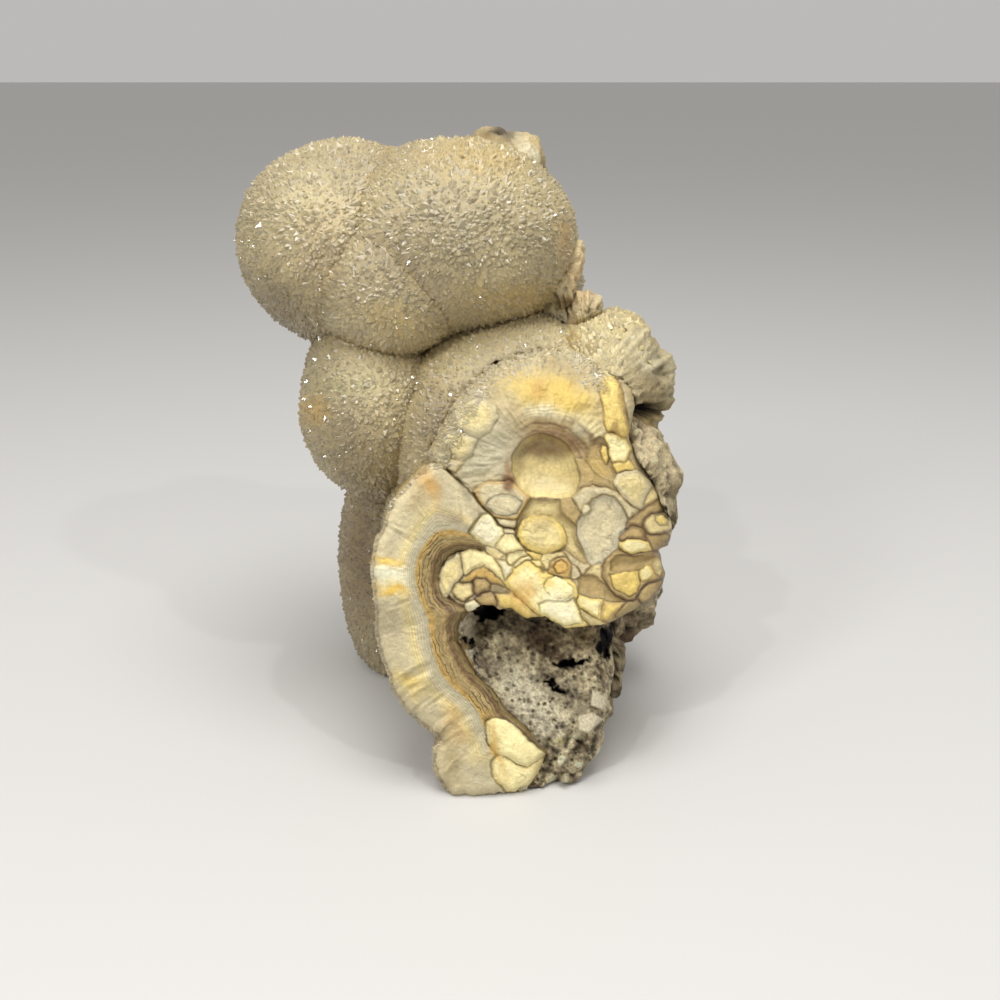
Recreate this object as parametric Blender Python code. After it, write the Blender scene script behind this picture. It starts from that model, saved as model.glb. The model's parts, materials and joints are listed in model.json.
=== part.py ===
"""A druzy quartz geode: a standing cluster of botryoidal quartz lobes, studded with crystal points on the
left, top and back, broken open at the front over banded agate, and grown on a mass of porous host rock.

Lengths in the tables are millimetres in the specimen's working frame: x to the right, y to the back and
z up, with zero at the front foot. The last step moves the origin to the bottom centre of the specimen.
"""

import math
import random

import bmesh
import bpy
from mathutils import Matrix, Vector, noise

MM = 0.001
SEED = 11

# Crystal points: three flat faces each, one on every triangle of a jittered ball. Those at the back are
# coarser.
CRYSTAL_PITCH = 6.9
BACK_PITCH = 8.6
CRYSTAL_HEIGHT = 2.3
CRYSTAL_HEIGHT_SPREAD = 0.45
CRYSTAL_LEAN = 0.9
BALL_JITTER = 0.24
FACES_PER_CORNER = 2
TRIANGLE_SHARE = 0.87

# Long soft swells that keep a lobe from being a plain ellipsoid.
SWELL = 1.6
SWELL_LENGTH = 26.0

# Broken rind and rock: pitch of the facets, depth of the lumps and their length.
RIND_PITCH = 8.0
RIND_ROUGH = 4.5
RIND_ROUGH_LENGTH = 13.0
ROCK_PITCH = 7.5
ROCK_ROUGH = 7.5
ROCK_ROUGH_LENGTH = 11.0
# The gap between the quartz and the rock that it grew on.
ROCK_GAP = 0.45

# The broken front: a slab that leans back, its rounded edge, and the agate nodules on it.
FRONT_LEAN = math.radians(11.5)
FRONT_THICKNESS = 16.0
FRONT_EDGE = 2.4
BALL_DETAIL = 2

# Booleans leave slivers. Edges shorter than this close up, and then the flattest spots lose triangles until
# these many remain.
SLIVER = 0.003
QUARTZ_TRIANGLES = 7900

# The specimen stands on what is left of its lobes under this height.
FLOOR_DEPTH = 40.0
FLOOR_WIDTH = 400.0
FLOOR_CUT = 0.0

# Middle of the specimen's box in the working frame, where the origin goes.
BOX_MIDDLE = (-17.0, 76.4)

# Lobes with crystals: centre and radii.
DRUZY_LOBES = {
    "upper_left": ((-56, 88, 172), (36.5, 40, 35.5)),
    "upper_right": ((-15, 78, 175), (41, 42, 33.5)),
    "upper_saddle": ((-36, 64, 160), (25, 28, 24)),
    "middle_left": ((-44, 74, 118), (26.5, 38, 34.5)),
    "middle_right": ((3, 66, 118), (40, 36, 33)),
    "middle_fold": ((-17, 54, 106), (20, 26, 28)),
    "lower_left": ((-41, 110, 42), (22.5, 32, 52)),
    "behind_crescent": ((-15, 51, 66), (27.5, 32, 42)),
    "behind_foot": ((-7, 27, 14), (15, 21, 23)),
    "back_upper_left": ((-38, 120, 166), (33, 32, 34)),
    "back_upper_right": ((0, 118, 150), (31, 32, 38)),
    "back_middle": ((-28, 122, 100), (36, 32, 40)),
    "back_lower": ((-8, 126, 38), (30, 24, 46)),
}

# Lobes that end in weathered rind instead of crystals: centre and radii.
RIND_LOBES = {
    "cap": ((0, 96, 191), (17, 22, 21)),
    "shoulder": ((36, 64, 124), (23.5, 32, 26)),
    "core": ((0, 66, 62), (34, 42, 60)),
    "back_right": ((26, 116, 92), (30, 28, 44)),
    "broken_edge": ((26, 70, 156), (7, 12, 13)),
    "behind_disc": ((30, 46, 80), (25, 28, 24)),
}

# Host rock: centre and radii.
ROCK_LUMPS = {
    "rock_core": ((10, 53, 36), (34, 36, 42)),
    "rock_side": ((43, 50, 88), (15, 26, 27)),
    "rock_foot": ((18, 26, 13), (14, 20, 16)),
    "rock_back": ((38, 94, 44), (22, 28, 35)),
}

# The lobe and the lump that the others are joined to.
FIRST_LOBE = "core"
FIRST_LUMP = "rock_core"

# Outlines on the broken front, as x and z: the thick banded crescent, and the disc of nodules over it.
CRESCENT = [
    (-22, 111), (-30, 105), (-35, 98), (-39, 92), (-41, 84), (-42, 76), (-41, 66), (-41, 55), (-38, 44),
    (-32, 32), (-26, 25), (-21, 21), (-22, 16), (-21, 7), (-17, 0), (-8, -1), (2, 0), (10, 4), (15, 14),
    (7, 23), (0, 29), (-3, 36), (-10, 44), (-13, 52), (-13, 61), (-6, 70), (0, 79), (-5, 96), (-17, 109),
]
DISC = [
    (-22, 112), (-13, 129), (0, 136), (13, 141), (28, 140), (42, 136), (46, 122), (46, 108), (46, 98),
    (48, 91), (54, 85), (53, 77), (52, 69), (47, 64), (36, 58), (27, 57), (17, 59), (8, 60), (-1, 64),
    (-7, 64), (-18, 69), (-20, 79), (-14, 92),
]

CRESCENT_FORWARD = 1.0
DISC_FORWARD = -1.5

# On the faces of the two, as x, z, radius across, radius up and depth: nodules stand out, and bowls are the
# hollows that fallen nodules left.
CRESCENT_NODULES = [(5, 18, 9, 7, 3.5), (5, 8, 6, 6, 3.0), (-33, 75, 6, 6, 2.5)]
DISC_NODULES = [
    (13, 68, 12, 9, 3.0), (42, 105, 7, 6, 4.0), (-6, 91, 6, 8, 3.5), (-9, 79, 8, 5, 4.5),
    (-7, 127, 7, 7, 3.5), (43, 73, 8, 7, 3.0), (46, 88, 7, 4, 3.5), (34, 62, 7, 4, 3.0),
    (38, 119, 5, 11, 3.0),
]
DISC_BOWLS = [(15, 110, 11, 10.5, 5.5), (14, 87, 10, 9, 5.0), (32, 91, 7, 10, 3.0)]

# Where colour and finish come from in the quartz and in the rock.
QUARTZ_COLOUR = (0.72, 0.66, 0.52)
QUARTZ_ROUGHNESS = 0.25
ROCK_COLOUR = (0.36, 0.31, 0.25)
ROCK_ROUGHNESS = 0.9


def own_random(name):
    """A generator for one piece, so that its points don't shift another's."""
    return random.Random(f"{SEED} {name}")


def any_direction(rng):
    return Vector([rng.uniform(-1, 1) for _ in range(3)])


def surface_area(radii):
    """Area of an ellipsoid, to about one per cent."""
    power = 1.6075
    a, b, c = [r**power for r in radii]
    return 4 * math.pi * ((a * b + a * c + b * c) / 3) ** (1 / power)


def ball_mesh(radii, pitch, rng):
    """A unit ball of jittered triangles, as many as give this pitch once it is stretched to the radii."""
    triangles = surface_area(radii) / (TRIANGLE_SHARE * pitch**2)
    count = max(12, round(triangles / FACES_PER_CORNER))
    golden = math.pi * (3 - math.sqrt(5))
    step = math.sqrt(4 * math.pi / count)
    bm = bmesh.new()
    for i in range(count):
        height = 1 - (2 * i + 1) / count
        ring = math.sqrt(1 - height * height)
        point = Vector((ring * math.cos(golden * i), ring * math.sin(golden * i), height))
        bm.verts.new((point + any_direction(rng) * BALL_JITTER * step).normalized())
    bmesh.ops.convex_hull(bm, input=bm.verts)
    bmesh.ops.recalc_face_normals(bm, faces=bm.faces)
    return bm


def stretch(bm, centre, radii, rough, rough_length):
    """Turns the unit ball into a lobe with soft swells and lumps, in millimetres."""
    for v in bm.verts:
        place = Vector([centre[i] + v.co[i] * radii[i] for i in range(3)])
        outward = Vector([v.co[i] / radii[i] for i in range(3)]).normalized()
        lift = SWELL * noise.noise(place / SWELL_LENGTH) + rough * noise.noise(place / rough_length)
        v.co = place + outward * lift
    bm.normal_update()


def raise_crystals(bm, rng):
    """Puts a point with three flat faces on every triangle."""
    tips = bmesh.ops.poke(bm, faces=list(bm.faces))["verts"]
    bm.normal_update()
    for tip in tips:
        height = CRYSTAL_HEIGHT * (1 + rng.uniform(-1, 1) * CRYSTAL_HEIGHT_SPREAD)
        tip.co += tip.normal * height + any_direction(rng) * CRYSTAL_LEAN


def as_object(bm, name, collection):
    """A new object from a bmesh."""
    data = bpy.data.meshes.new(name)
    bm.to_mesh(data)
    bm.free()
    obj = bpy.data.objects.new(name, data)
    collection.objects.link(obj)
    return obj


def evaluated_mesh(obj):
    """A new mesh of the object as it looks with its modifiers, or of a curve."""
    bpy.context.view_layer.update()
    graph = bpy.context.evaluated_depsgraph_get()
    return bpy.data.meshes.new_from_object(obj.evaluated_get(graph))


def druzy_lobe(name, collection):
    centre, radii = DRUZY_LOBES[name]
    rng = own_random(name)
    pitch = BACK_PITCH if name.startswith("back") else CRYSTAL_PITCH
    bm = ball_mesh(radii, pitch, rng)
    stretch(bm, centre, radii, 0.0, SWELL_LENGTH)
    raise_crystals(bm, rng)
    return as_object(bm, name, collection)


def rind_lobe(name, collection):
    centre, radii = RIND_LOBES[name]
    bm = ball_mesh(radii, RIND_PITCH, own_random(name))
    stretch(bm, centre, radii, RIND_ROUGH, RIND_ROUGH_LENGTH)
    return as_object(bm, name, collection)


def rock_lump(name, collection, grown=0.0):
    """A lump of host rock. The grown one cuts the quartz so that the two don't touch."""
    centre, radii = ROCK_LUMPS[name]
    bm = ball_mesh(radii, ROCK_PITCH, own_random(name))
    stretch(bm, centre, radii, ROCK_ROUGH, ROCK_ROUGH_LENGTH)
    for v in bm.verts:
        v.co += v.normal * grown
    return as_object(bm, name + ("_grown" if grown else ""), collection)


def lean_back(bm, x, z, forward):
    """Takes a flat shape (x, up, outward) to a place on the leaning front, this far in front of it."""
    bmesh.ops.translate(bm, verts=bm.verts, vec=(x, z / math.cos(FRONT_LEAN), forward))
    turn = Matrix.Rotation(math.pi / 2 - FRONT_LEAN, 4, "X")
    bmesh.ops.transform(bm, verts=bm.verts, matrix=turn)


def slab(name, outline, forward, collection):
    """A flat outline with a chamfered edge, whose front face leans back this far in front of the foot."""
    data = bpy.data.curves.new(name, "CURVE")
    data.dimensions = "2D"
    data.fill_mode = "BOTH"
    data.extrude = FRONT_THICKNESS / 2
    data.bevel_depth = FRONT_EDGE
    data.bevel_resolution = 0
    data.offset = -FRONT_EDGE
    spline = data.splines.new("POLY")
    spline.points.add(len(outline) - 1)
    for point, (x, z) in zip(spline.points, outline):
        point.co = (x, z / math.cos(FRONT_LEAN), 0, 1)
    spline.use_cyclic_u = True
    guide = bpy.data.objects.new(name, data)
    collection.objects.link(guide)
    bm = bmesh.new()
    bm.from_mesh(evaluated_mesh(guide))
    bpy.data.objects.remove(guide)
    bmesh.ops.remove_doubles(bm, verts=bm.verts, dist=0.01)
    bmesh.ops.triangulate(bm, faces=bm.faces)
    bmesh.ops.recalc_face_normals(bm, faces=bm.faces)
    lean_back(bm, 0, 0, forward - FRONT_THICKNESS / 2 - FRONT_EDGE)
    return as_object(bm, name, collection)


def front_ball(name, x, z, across, up, depth, forward, collection):
    """A flattened ball centred on the face of a slab."""
    bm = bmesh.new()
    bmesh.ops.create_icosphere(bm, subdivisions=BALL_DETAIL, radius=1)
    bmesh.ops.scale(bm, verts=bm.verts, vec=(across, up, depth))
    lean_back(bm, x, z, forward)
    return as_object(bm, name, collection)


def floor_cutter(collection):
    bm = bmesh.new()
    bmesh.ops.create_cube(bm, size=1)
    bmesh.ops.scale(bm, vec=(FLOOR_WIDTH, FLOOR_WIDTH, FLOOR_DEPTH), verts=bm.verts)
    bmesh.ops.translate(bm, vec=(0, 0, FLOOR_CUT - FLOOR_DEPTH / 2), verts=bm.verts)
    return as_object(bm, "floor_cutter", collection)


def boolean(obj, operation, others):
    """Joins the others to the object, or cuts them from it, and keeps the result as triangles."""
    modifier = obj.modifiers.new(operation.lower(), "BOOLEAN")
    modifier.operation = operation
    modifier.solver = "EXACT"
    modifier.operand_type = "COLLECTION"
    modifier.collection = others
    data = evaluated_mesh(obj)
    obj.modifiers.remove(modifier)
    bm = bmesh.new()
    bm.from_mesh(data)
    bmesh.ops.triangulate(bm, faces=bm.faces)
    bmesh.ops.dissolve_degenerate(bm, edges=bm.edges, dist=SLIVER)
    bmesh.ops.triangulate(bm, faces=bm.faces)
    bm.to_mesh(data)
    bm.free()
    obj.data = data


def keep_largest_skin(bm):
    """Deletes the chips and the closed pockets that the Booleans leave, so that one solid remains."""
    todo = set(bm.faces)
    skins = []
    while todo:
        skin = [todo.pop()]
        for face in skin:
            for edge in face.edges:
                for other in edge.link_faces:
                    if other in todo:
                        todo.remove(other)
                        skin.append(other)
        skins.append(skin)
    skins.sort(key=len)
    for skin in skins[:-1]:
        bmesh.ops.delete(bm, geom=skin, context="FACES")


def thin_out(obj, triangles):
    """One solid with about this many triangles."""
    bm = bmesh.new()
    bm.from_mesh(obj.data)
    keep_largest_skin(bm)
    bm.to_mesh(obj.data)
    bm.free()
    modifier = obj.modifiers.new("thin_out", "DECIMATE")
    modifier.ratio = min(1.0, triangles / len(obj.data.polygons))
    data = evaluated_mesh(obj)
    obj.modifiers.remove(modifier)
    obj.data = data


def finished(name, obj, material, collection):
    """The solid in metres, about the specimen's origin, with its material."""
    bm = bmesh.new()
    bm.from_mesh(obj.data)
    keep_largest_skin(bm)
    bmesh.ops.translate(bm, verts=bm.verts, vec=(-BOX_MIDDLE[0], -BOX_MIDDLE[1], 0))
    bmesh.ops.scale(bm, verts=bm.verts, vec=(MM, MM, MM))
    made = as_object(bm, name, collection)
    made.data.materials.append(material)
    return made


def stone(name, colour, roughness):
    material = bpy.data.materials.new(name)
    material.use_nodes = True
    shader = material.node_tree.nodes["Principled BSDF"]
    shader.inputs["Base Color"].default_value = (*colour, 1)
    shader.inputs["Roughness"].default_value = roughness
    shader.inputs["Metallic"].default_value = 0
    return material


def new_collection(name):
    collection = bpy.data.collections.new(name)
    bpy.context.scene.collection.children.link(collection)
    return collection


def main():
    for obj in list(bpy.data.objects):
        bpy.data.objects.remove(obj)
    parts = new_collection("druzy_quartz_geode")
    starts = new_collection("starts")
    bowls = new_collection("bowls")
    quartz_pieces = new_collection("quartz_pieces")
    rock_pieces = new_collection("rock_pieces")
    grown_pieces = new_collection("grown_pieces")
    grown_rock = new_collection("grown_rock")
    floor = new_collection("floor")

    floor_cutter(floor)
    disc = slab("disc", DISC, DISC_FORWARD, quartz_pieces)
    for bowl in DISC_BOWLS:
        front_ball("bowl", *bowl, DISC_FORWARD, bowls)
    boolean(disc, "DIFFERENCE", bowls)
    slab("crescent", CRESCENT, CRESCENT_FORWARD, quartz_pieces)
    for nodule in CRESCENT_NODULES:
        front_ball("nodule", *nodule, CRESCENT_FORWARD, quartz_pieces)
    for nodule in DISC_NODULES:
        front_ball("nodule", *nodule, DISC_FORWARD, quartz_pieces)
    for name in DRUZY_LOBES:
        druzy_lobe(name, quartz_pieces)
    for name in RIND_LOBES:
        rind_lobe(name, quartz_pieces if name != FIRST_LOBE else starts)
    for name in ROCK_LUMPS:
        rock_lump(name, rock_pieces if name != FIRST_LUMP else starts)
        rock_lump(name, grown_pieces if name != FIRST_LUMP else grown_rock, ROCK_GAP)

    quartz = starts.objects[FIRST_LOBE]
    rock = starts.objects[FIRST_LUMP]
    boolean(grown_rock.objects[0], "UNION", grown_pieces)
    boolean(quartz, "UNION", quartz_pieces)
    thin_out(quartz, QUARTZ_TRIANGLES)
    boolean(quartz, "DIFFERENCE", grown_rock)
    boolean(quartz, "DIFFERENCE", floor)
    boolean(rock, "UNION", rock_pieces)
    boolean(rock, "DIFFERENCE", floor)
    quartz_stone = stone("quartz", QUARTZ_COLOUR, QUARTZ_ROUGHNESS)
    rock_stone = stone("host_rock", ROCK_COLOUR, ROCK_ROUGHNESS)
    finished("quartz_lobes", quartz, quartz_stone, parts)
    finished("host_rock", rock, rock_stone, parts)
    for collection in (starts, bowls, quartz_pieces, rock_pieces, grown_pieces, grown_rock, floor):
        for obj in list(collection.objects):
            bpy.data.objects.remove(obj)
        bpy.data.collections.remove(collection)


main()
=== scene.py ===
"""The looks of the druzy quartz geode: crystals on its lobes, the broken agate face, rind and porous rock.

Lengths are millimetres in the specimen's working frame, as in part.py: x to the right, y to the back, z up
and zero at the front foot. ORIGIN is the row's origin in it. Outlines on the broken face are in pixels of
the photograph, and each lies where its lines of sight meet the face.
"""

import itertools
import json
import math

import bmesh
import bpy
import numpy as np
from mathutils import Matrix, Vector, noise

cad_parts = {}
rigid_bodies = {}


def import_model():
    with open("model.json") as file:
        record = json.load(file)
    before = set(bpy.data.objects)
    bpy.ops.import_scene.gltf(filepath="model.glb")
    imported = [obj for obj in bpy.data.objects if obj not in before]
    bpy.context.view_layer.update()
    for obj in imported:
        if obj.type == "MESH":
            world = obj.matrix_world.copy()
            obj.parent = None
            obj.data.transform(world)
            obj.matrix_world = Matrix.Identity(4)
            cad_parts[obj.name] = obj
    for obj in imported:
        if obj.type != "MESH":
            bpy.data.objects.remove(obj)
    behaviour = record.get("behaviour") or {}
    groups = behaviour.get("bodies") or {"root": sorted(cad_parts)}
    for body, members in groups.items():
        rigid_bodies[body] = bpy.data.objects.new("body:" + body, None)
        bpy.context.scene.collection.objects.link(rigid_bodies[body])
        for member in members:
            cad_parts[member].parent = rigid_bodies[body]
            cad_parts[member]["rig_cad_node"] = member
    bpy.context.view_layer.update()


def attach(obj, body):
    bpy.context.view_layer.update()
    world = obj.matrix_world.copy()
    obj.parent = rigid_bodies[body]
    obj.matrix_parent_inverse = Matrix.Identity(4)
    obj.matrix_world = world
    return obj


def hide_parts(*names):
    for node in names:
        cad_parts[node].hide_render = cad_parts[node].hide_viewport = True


MM = 0.001
ORIGIN = np.array([-17.0, 76.4, 0.0])
SEED = 5

# The photograph's camera, in the working frame.
PHOTO_SIDE = 1000
LENS_MM = 50.0
SENSOR_MM = 36.0
FOCAL = PHOTO_SIDE * LENS_MM / SENSOR_MM
CAMERA = np.array([0.0, -408.2, 245.0])
CAMERA_PITCH = math.radians(18.9)

# Lobes with crystals: centre and radii, as in part.py.
DRUZY_LOBES = {
    "upper_left": ((-56, 88, 172), (36.5, 40, 35.5)),
    "upper_right": ((-15, 78, 175), (41, 42, 33.5)),
    "upper_saddle": ((-36, 64, 160), (25, 28, 24)),
    "middle_left": ((-44, 74, 118), (26.5, 38, 34.5)),
    "middle_right": ((3, 66, 118), (40, 36, 33)),
    "middle_fold": ((-17, 54, 106), (20, 26, 28)),
    "lower_left": ((-41, 110, 42), (22.5, 32, 52)),
    "behind_crescent": ((-15, 51, 66), (27.5, 32, 42)),
    "behind_foot": ((-7, 27, 14), (15, 21, 23)),
    "back_upper_left": ((-38, 120, 166), (33, 32, 34)),
    "back_upper_right": ((0, 118, 150), (31, 32, 38)),
    "back_middle": ((-28, 122, 100), (36, 32, 40)),
    "back_lower": ((-8, 126, 38), (30, 24, 46)),
}
CRYSTAL_PIECES = {
    "crystals_upper_left": ("upper_left", "upper_saddle"),
    "crystals_upper_right": ("upper_right",),
    "crystals_middle": ("middle_left", "middle_right", "middle_fold"),
    "crystals_lower": ("lower_left", "behind_crescent", "behind_foot"),
    "crystals_back_upper": ("back_upper_left", "back_upper_right"),
    "crystals_back_lower": ("back_middle", "back_lower"),
}

# Lobes that end in weathered rind: centre and radii, as in part.py, apart from a smaller core.
RIND_LOBES = {
    "cap": ((0, 96, 189.5), (17, 22, 21)),
    "shoulder": ((36, 64, 124), (23.5, 32, 26)),
    "core": ((0, 66, 58), (31, 37, 54)),
    "back_right": ((26, 116, 92), (30, 28, 44)),
    "broken_edge": ((22.5, 70, 163), (4.5, 9, 10)),
    "broken_edge_foot": ((29, 69, 151.5), (5.5, 9, 8)),
    "behind_disc": ((30, 46, 80), (25, 28, 24)),
}

# Host rock: centre and radii, as in part.py.
ROCK_LUMPS = {
    "rock_core": ((10, 53, 36), (34, 36, 42)),
    "rock_side": ((43.5, 49, 93), (16, 27, 29)),
    "rock_foot": ((18, 26, 13), (14, 20, 16)),
    "rock_back": ((38, 94, 44), (22, 28, 35)),
}

# Long swells and lumps, as in part.py: height and length.
SWELL = (1.6, 26.0)
RIND_ROUGH = (4.5, 13.0)
ROCK_ROUGH = (7.5, 11.0)

# How often a ball's faces are halved.
LOBE_DETAIL = 5
RIND_DETAIL = 6
ROCK_DETAIL = 7

# Crystals: the pitch of their centres, their radius, and how far they lean.
CRYSTAL_PITCH = 1.5
BACK_PITCH = 1.9
CRYSTAL_RADIUS = 1.15
CRYSTAL_LEAN = 0.22
CRYSTAL_FOOT = 1.6
CRYSTAL_SUNK = 0.8
CRYSTAL_TIP = (0.45, 0.85)
CRYSTAL_SOFTNESS = 0.57
GLOSSY_SHARE = 0.4
DULL_COAT = 0.5

# Lobes that run into each other, and over what length.
SOFT_GROUPS = (
    ("upper_left", "upper_right", "upper_saddle"),
    ("middle_right", "middle_fold"),
    ("middle_left", "behind_crescent"),
    ("back_upper_left", "back_upper_right", "back_middle"),
)
SOFT_JOIN = 2.6

# Small crystals on the broken face's outer edge: how many, how far back they go, and their radius.
RIM_CRYSTALS = 2600
RIM_DEPTH = 12.0
RIM_RADIUS = 0.85
SHOULDER_PITCH = 1.5
UPPER_CRYSTALS = 1700
UPPER_REACH_PX = 26

# The broken face: how it leans, the spacing of its points in pixels, and how far back its edge goes.
FACE_LEAN = math.radians(11.5)
FACE_FORWARD = -1.5
FACE_STEP = 1.05
FACE_BACK = ((3.0, 0.0), (8.0, 0.0), (15.0, 5.0), (20.0, 16.0))
EDGE_ROUND_PX = 11.0
EDGE_ROUND = 4.5
ROCK_STEP = 1.1
ROCK_BACK = ((4.0, 0.0), (10.0, 0.0), (20.0, 0.0))
BEHIND_HOLLOW = 15.0
HOLES_REACH = 85.0

# Outlines on the face, in pixels of the photograph.
CRESCENT_EDGE = [
    (432, 464), (420, 473), (410, 483), (402, 492), (392, 503), (388, 515), (384, 530), (377, 540),
    (374, 555), (372, 570), (374, 580), (375, 595), (377, 610), (377, 635), (381, 650), (385, 662),
    (390, 675), (393, 688), (400, 700), (410, 713), (420, 722), (430, 730), (438, 735), (441, 742),
    (434, 749), (434, 760), (436, 772), (443, 784), (452, 796), (471, 798), (487, 796), (513, 793),
    (528, 786),
]
FOOT_RIGHT = [(539, 772), (545, 758), (549, 754), (541, 743), (533, 733), (525, 724)]
CAVITY_EDGE = [
    (515, 716), (507, 707), (500, 697), (491, 686), (481, 676), (472, 664), (465, 651), (459, 640),
    (460, 626), (467, 614), (477, 607),
]
LIP = [
    (482, 605), (493, 605), (500, 610), (511, 608), (519, 614), (527, 618), (545, 616), (555, 622), (565, 628), (600, 625),
    (620, 618), (640, 605), (652, 600),
]
RIGHT_EDGE = [
    (662, 588), (665, 572), (658, 556), (658, 550), (668, 545), (672, 532), (671, 520), (664, 510),
    (660, 500), (655, 488), (648, 476), (640, 465), (634, 455), (629, 440), (631, 425), (635, 405),
    (631, 390), (622, 380),
]
TOP_EDGE = [
    (600, 370), (590, 358), (570, 352), (545, 352), (520, 356), (495, 366), (475, 380), (463, 395),
    (452, 408), (444, 425), (436, 440), (430, 452),
]
CRACK = [
    (432, 464), (445, 468), (455, 478), (468, 488), (475, 498), (483, 508), (492, 515), (498, 525),
    (505, 528), (515, 529),
]
ARM_END = [(518, 540), (524, 550), (505, 554), (498, 560)]
ARCH_TOP = [
    (490, 556), (480, 551), (470, 551), (458, 552), (449, 558), (443, 567), (441, 580), (446, 593),
    (457, 602), (468, 607),
]

# Colours in sRGB, from 0 to 255.
CREAM = (234, 214, 150)
PALE = (220, 205, 163)
WHITE = (246, 236, 196)
IVORY = (255, 240, 176)
YELLOW = (238, 208, 116)
GOLD = (206, 167, 86)
TAN = (190, 162, 104)
GREY_BLUE = (194, 185, 152)
GREY = (152, 135, 98)
OLIVE = (166, 144, 94)
ORANGE = (224, 180, 98)
BROWN = (116, 86, 50)
DARK = (66, 50, 32)
# Painted shade: the near-black put into the holes of the rind and rock.
HOLE_SHADE_BLACK = (26, 20, 14)
BLOCK_WHITE = (255, 240, 204)
RUST = (112, 72, 34)
DRUZY_GREY = (173, 158, 121)
DRUZY_BEIGE = (203, 185, 139)
DRUZY_SEAM = (166, 142, 96)
ROCK_DARK = (112, 92, 64)
ROCK_PALE = (250, 232, 188)

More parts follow.
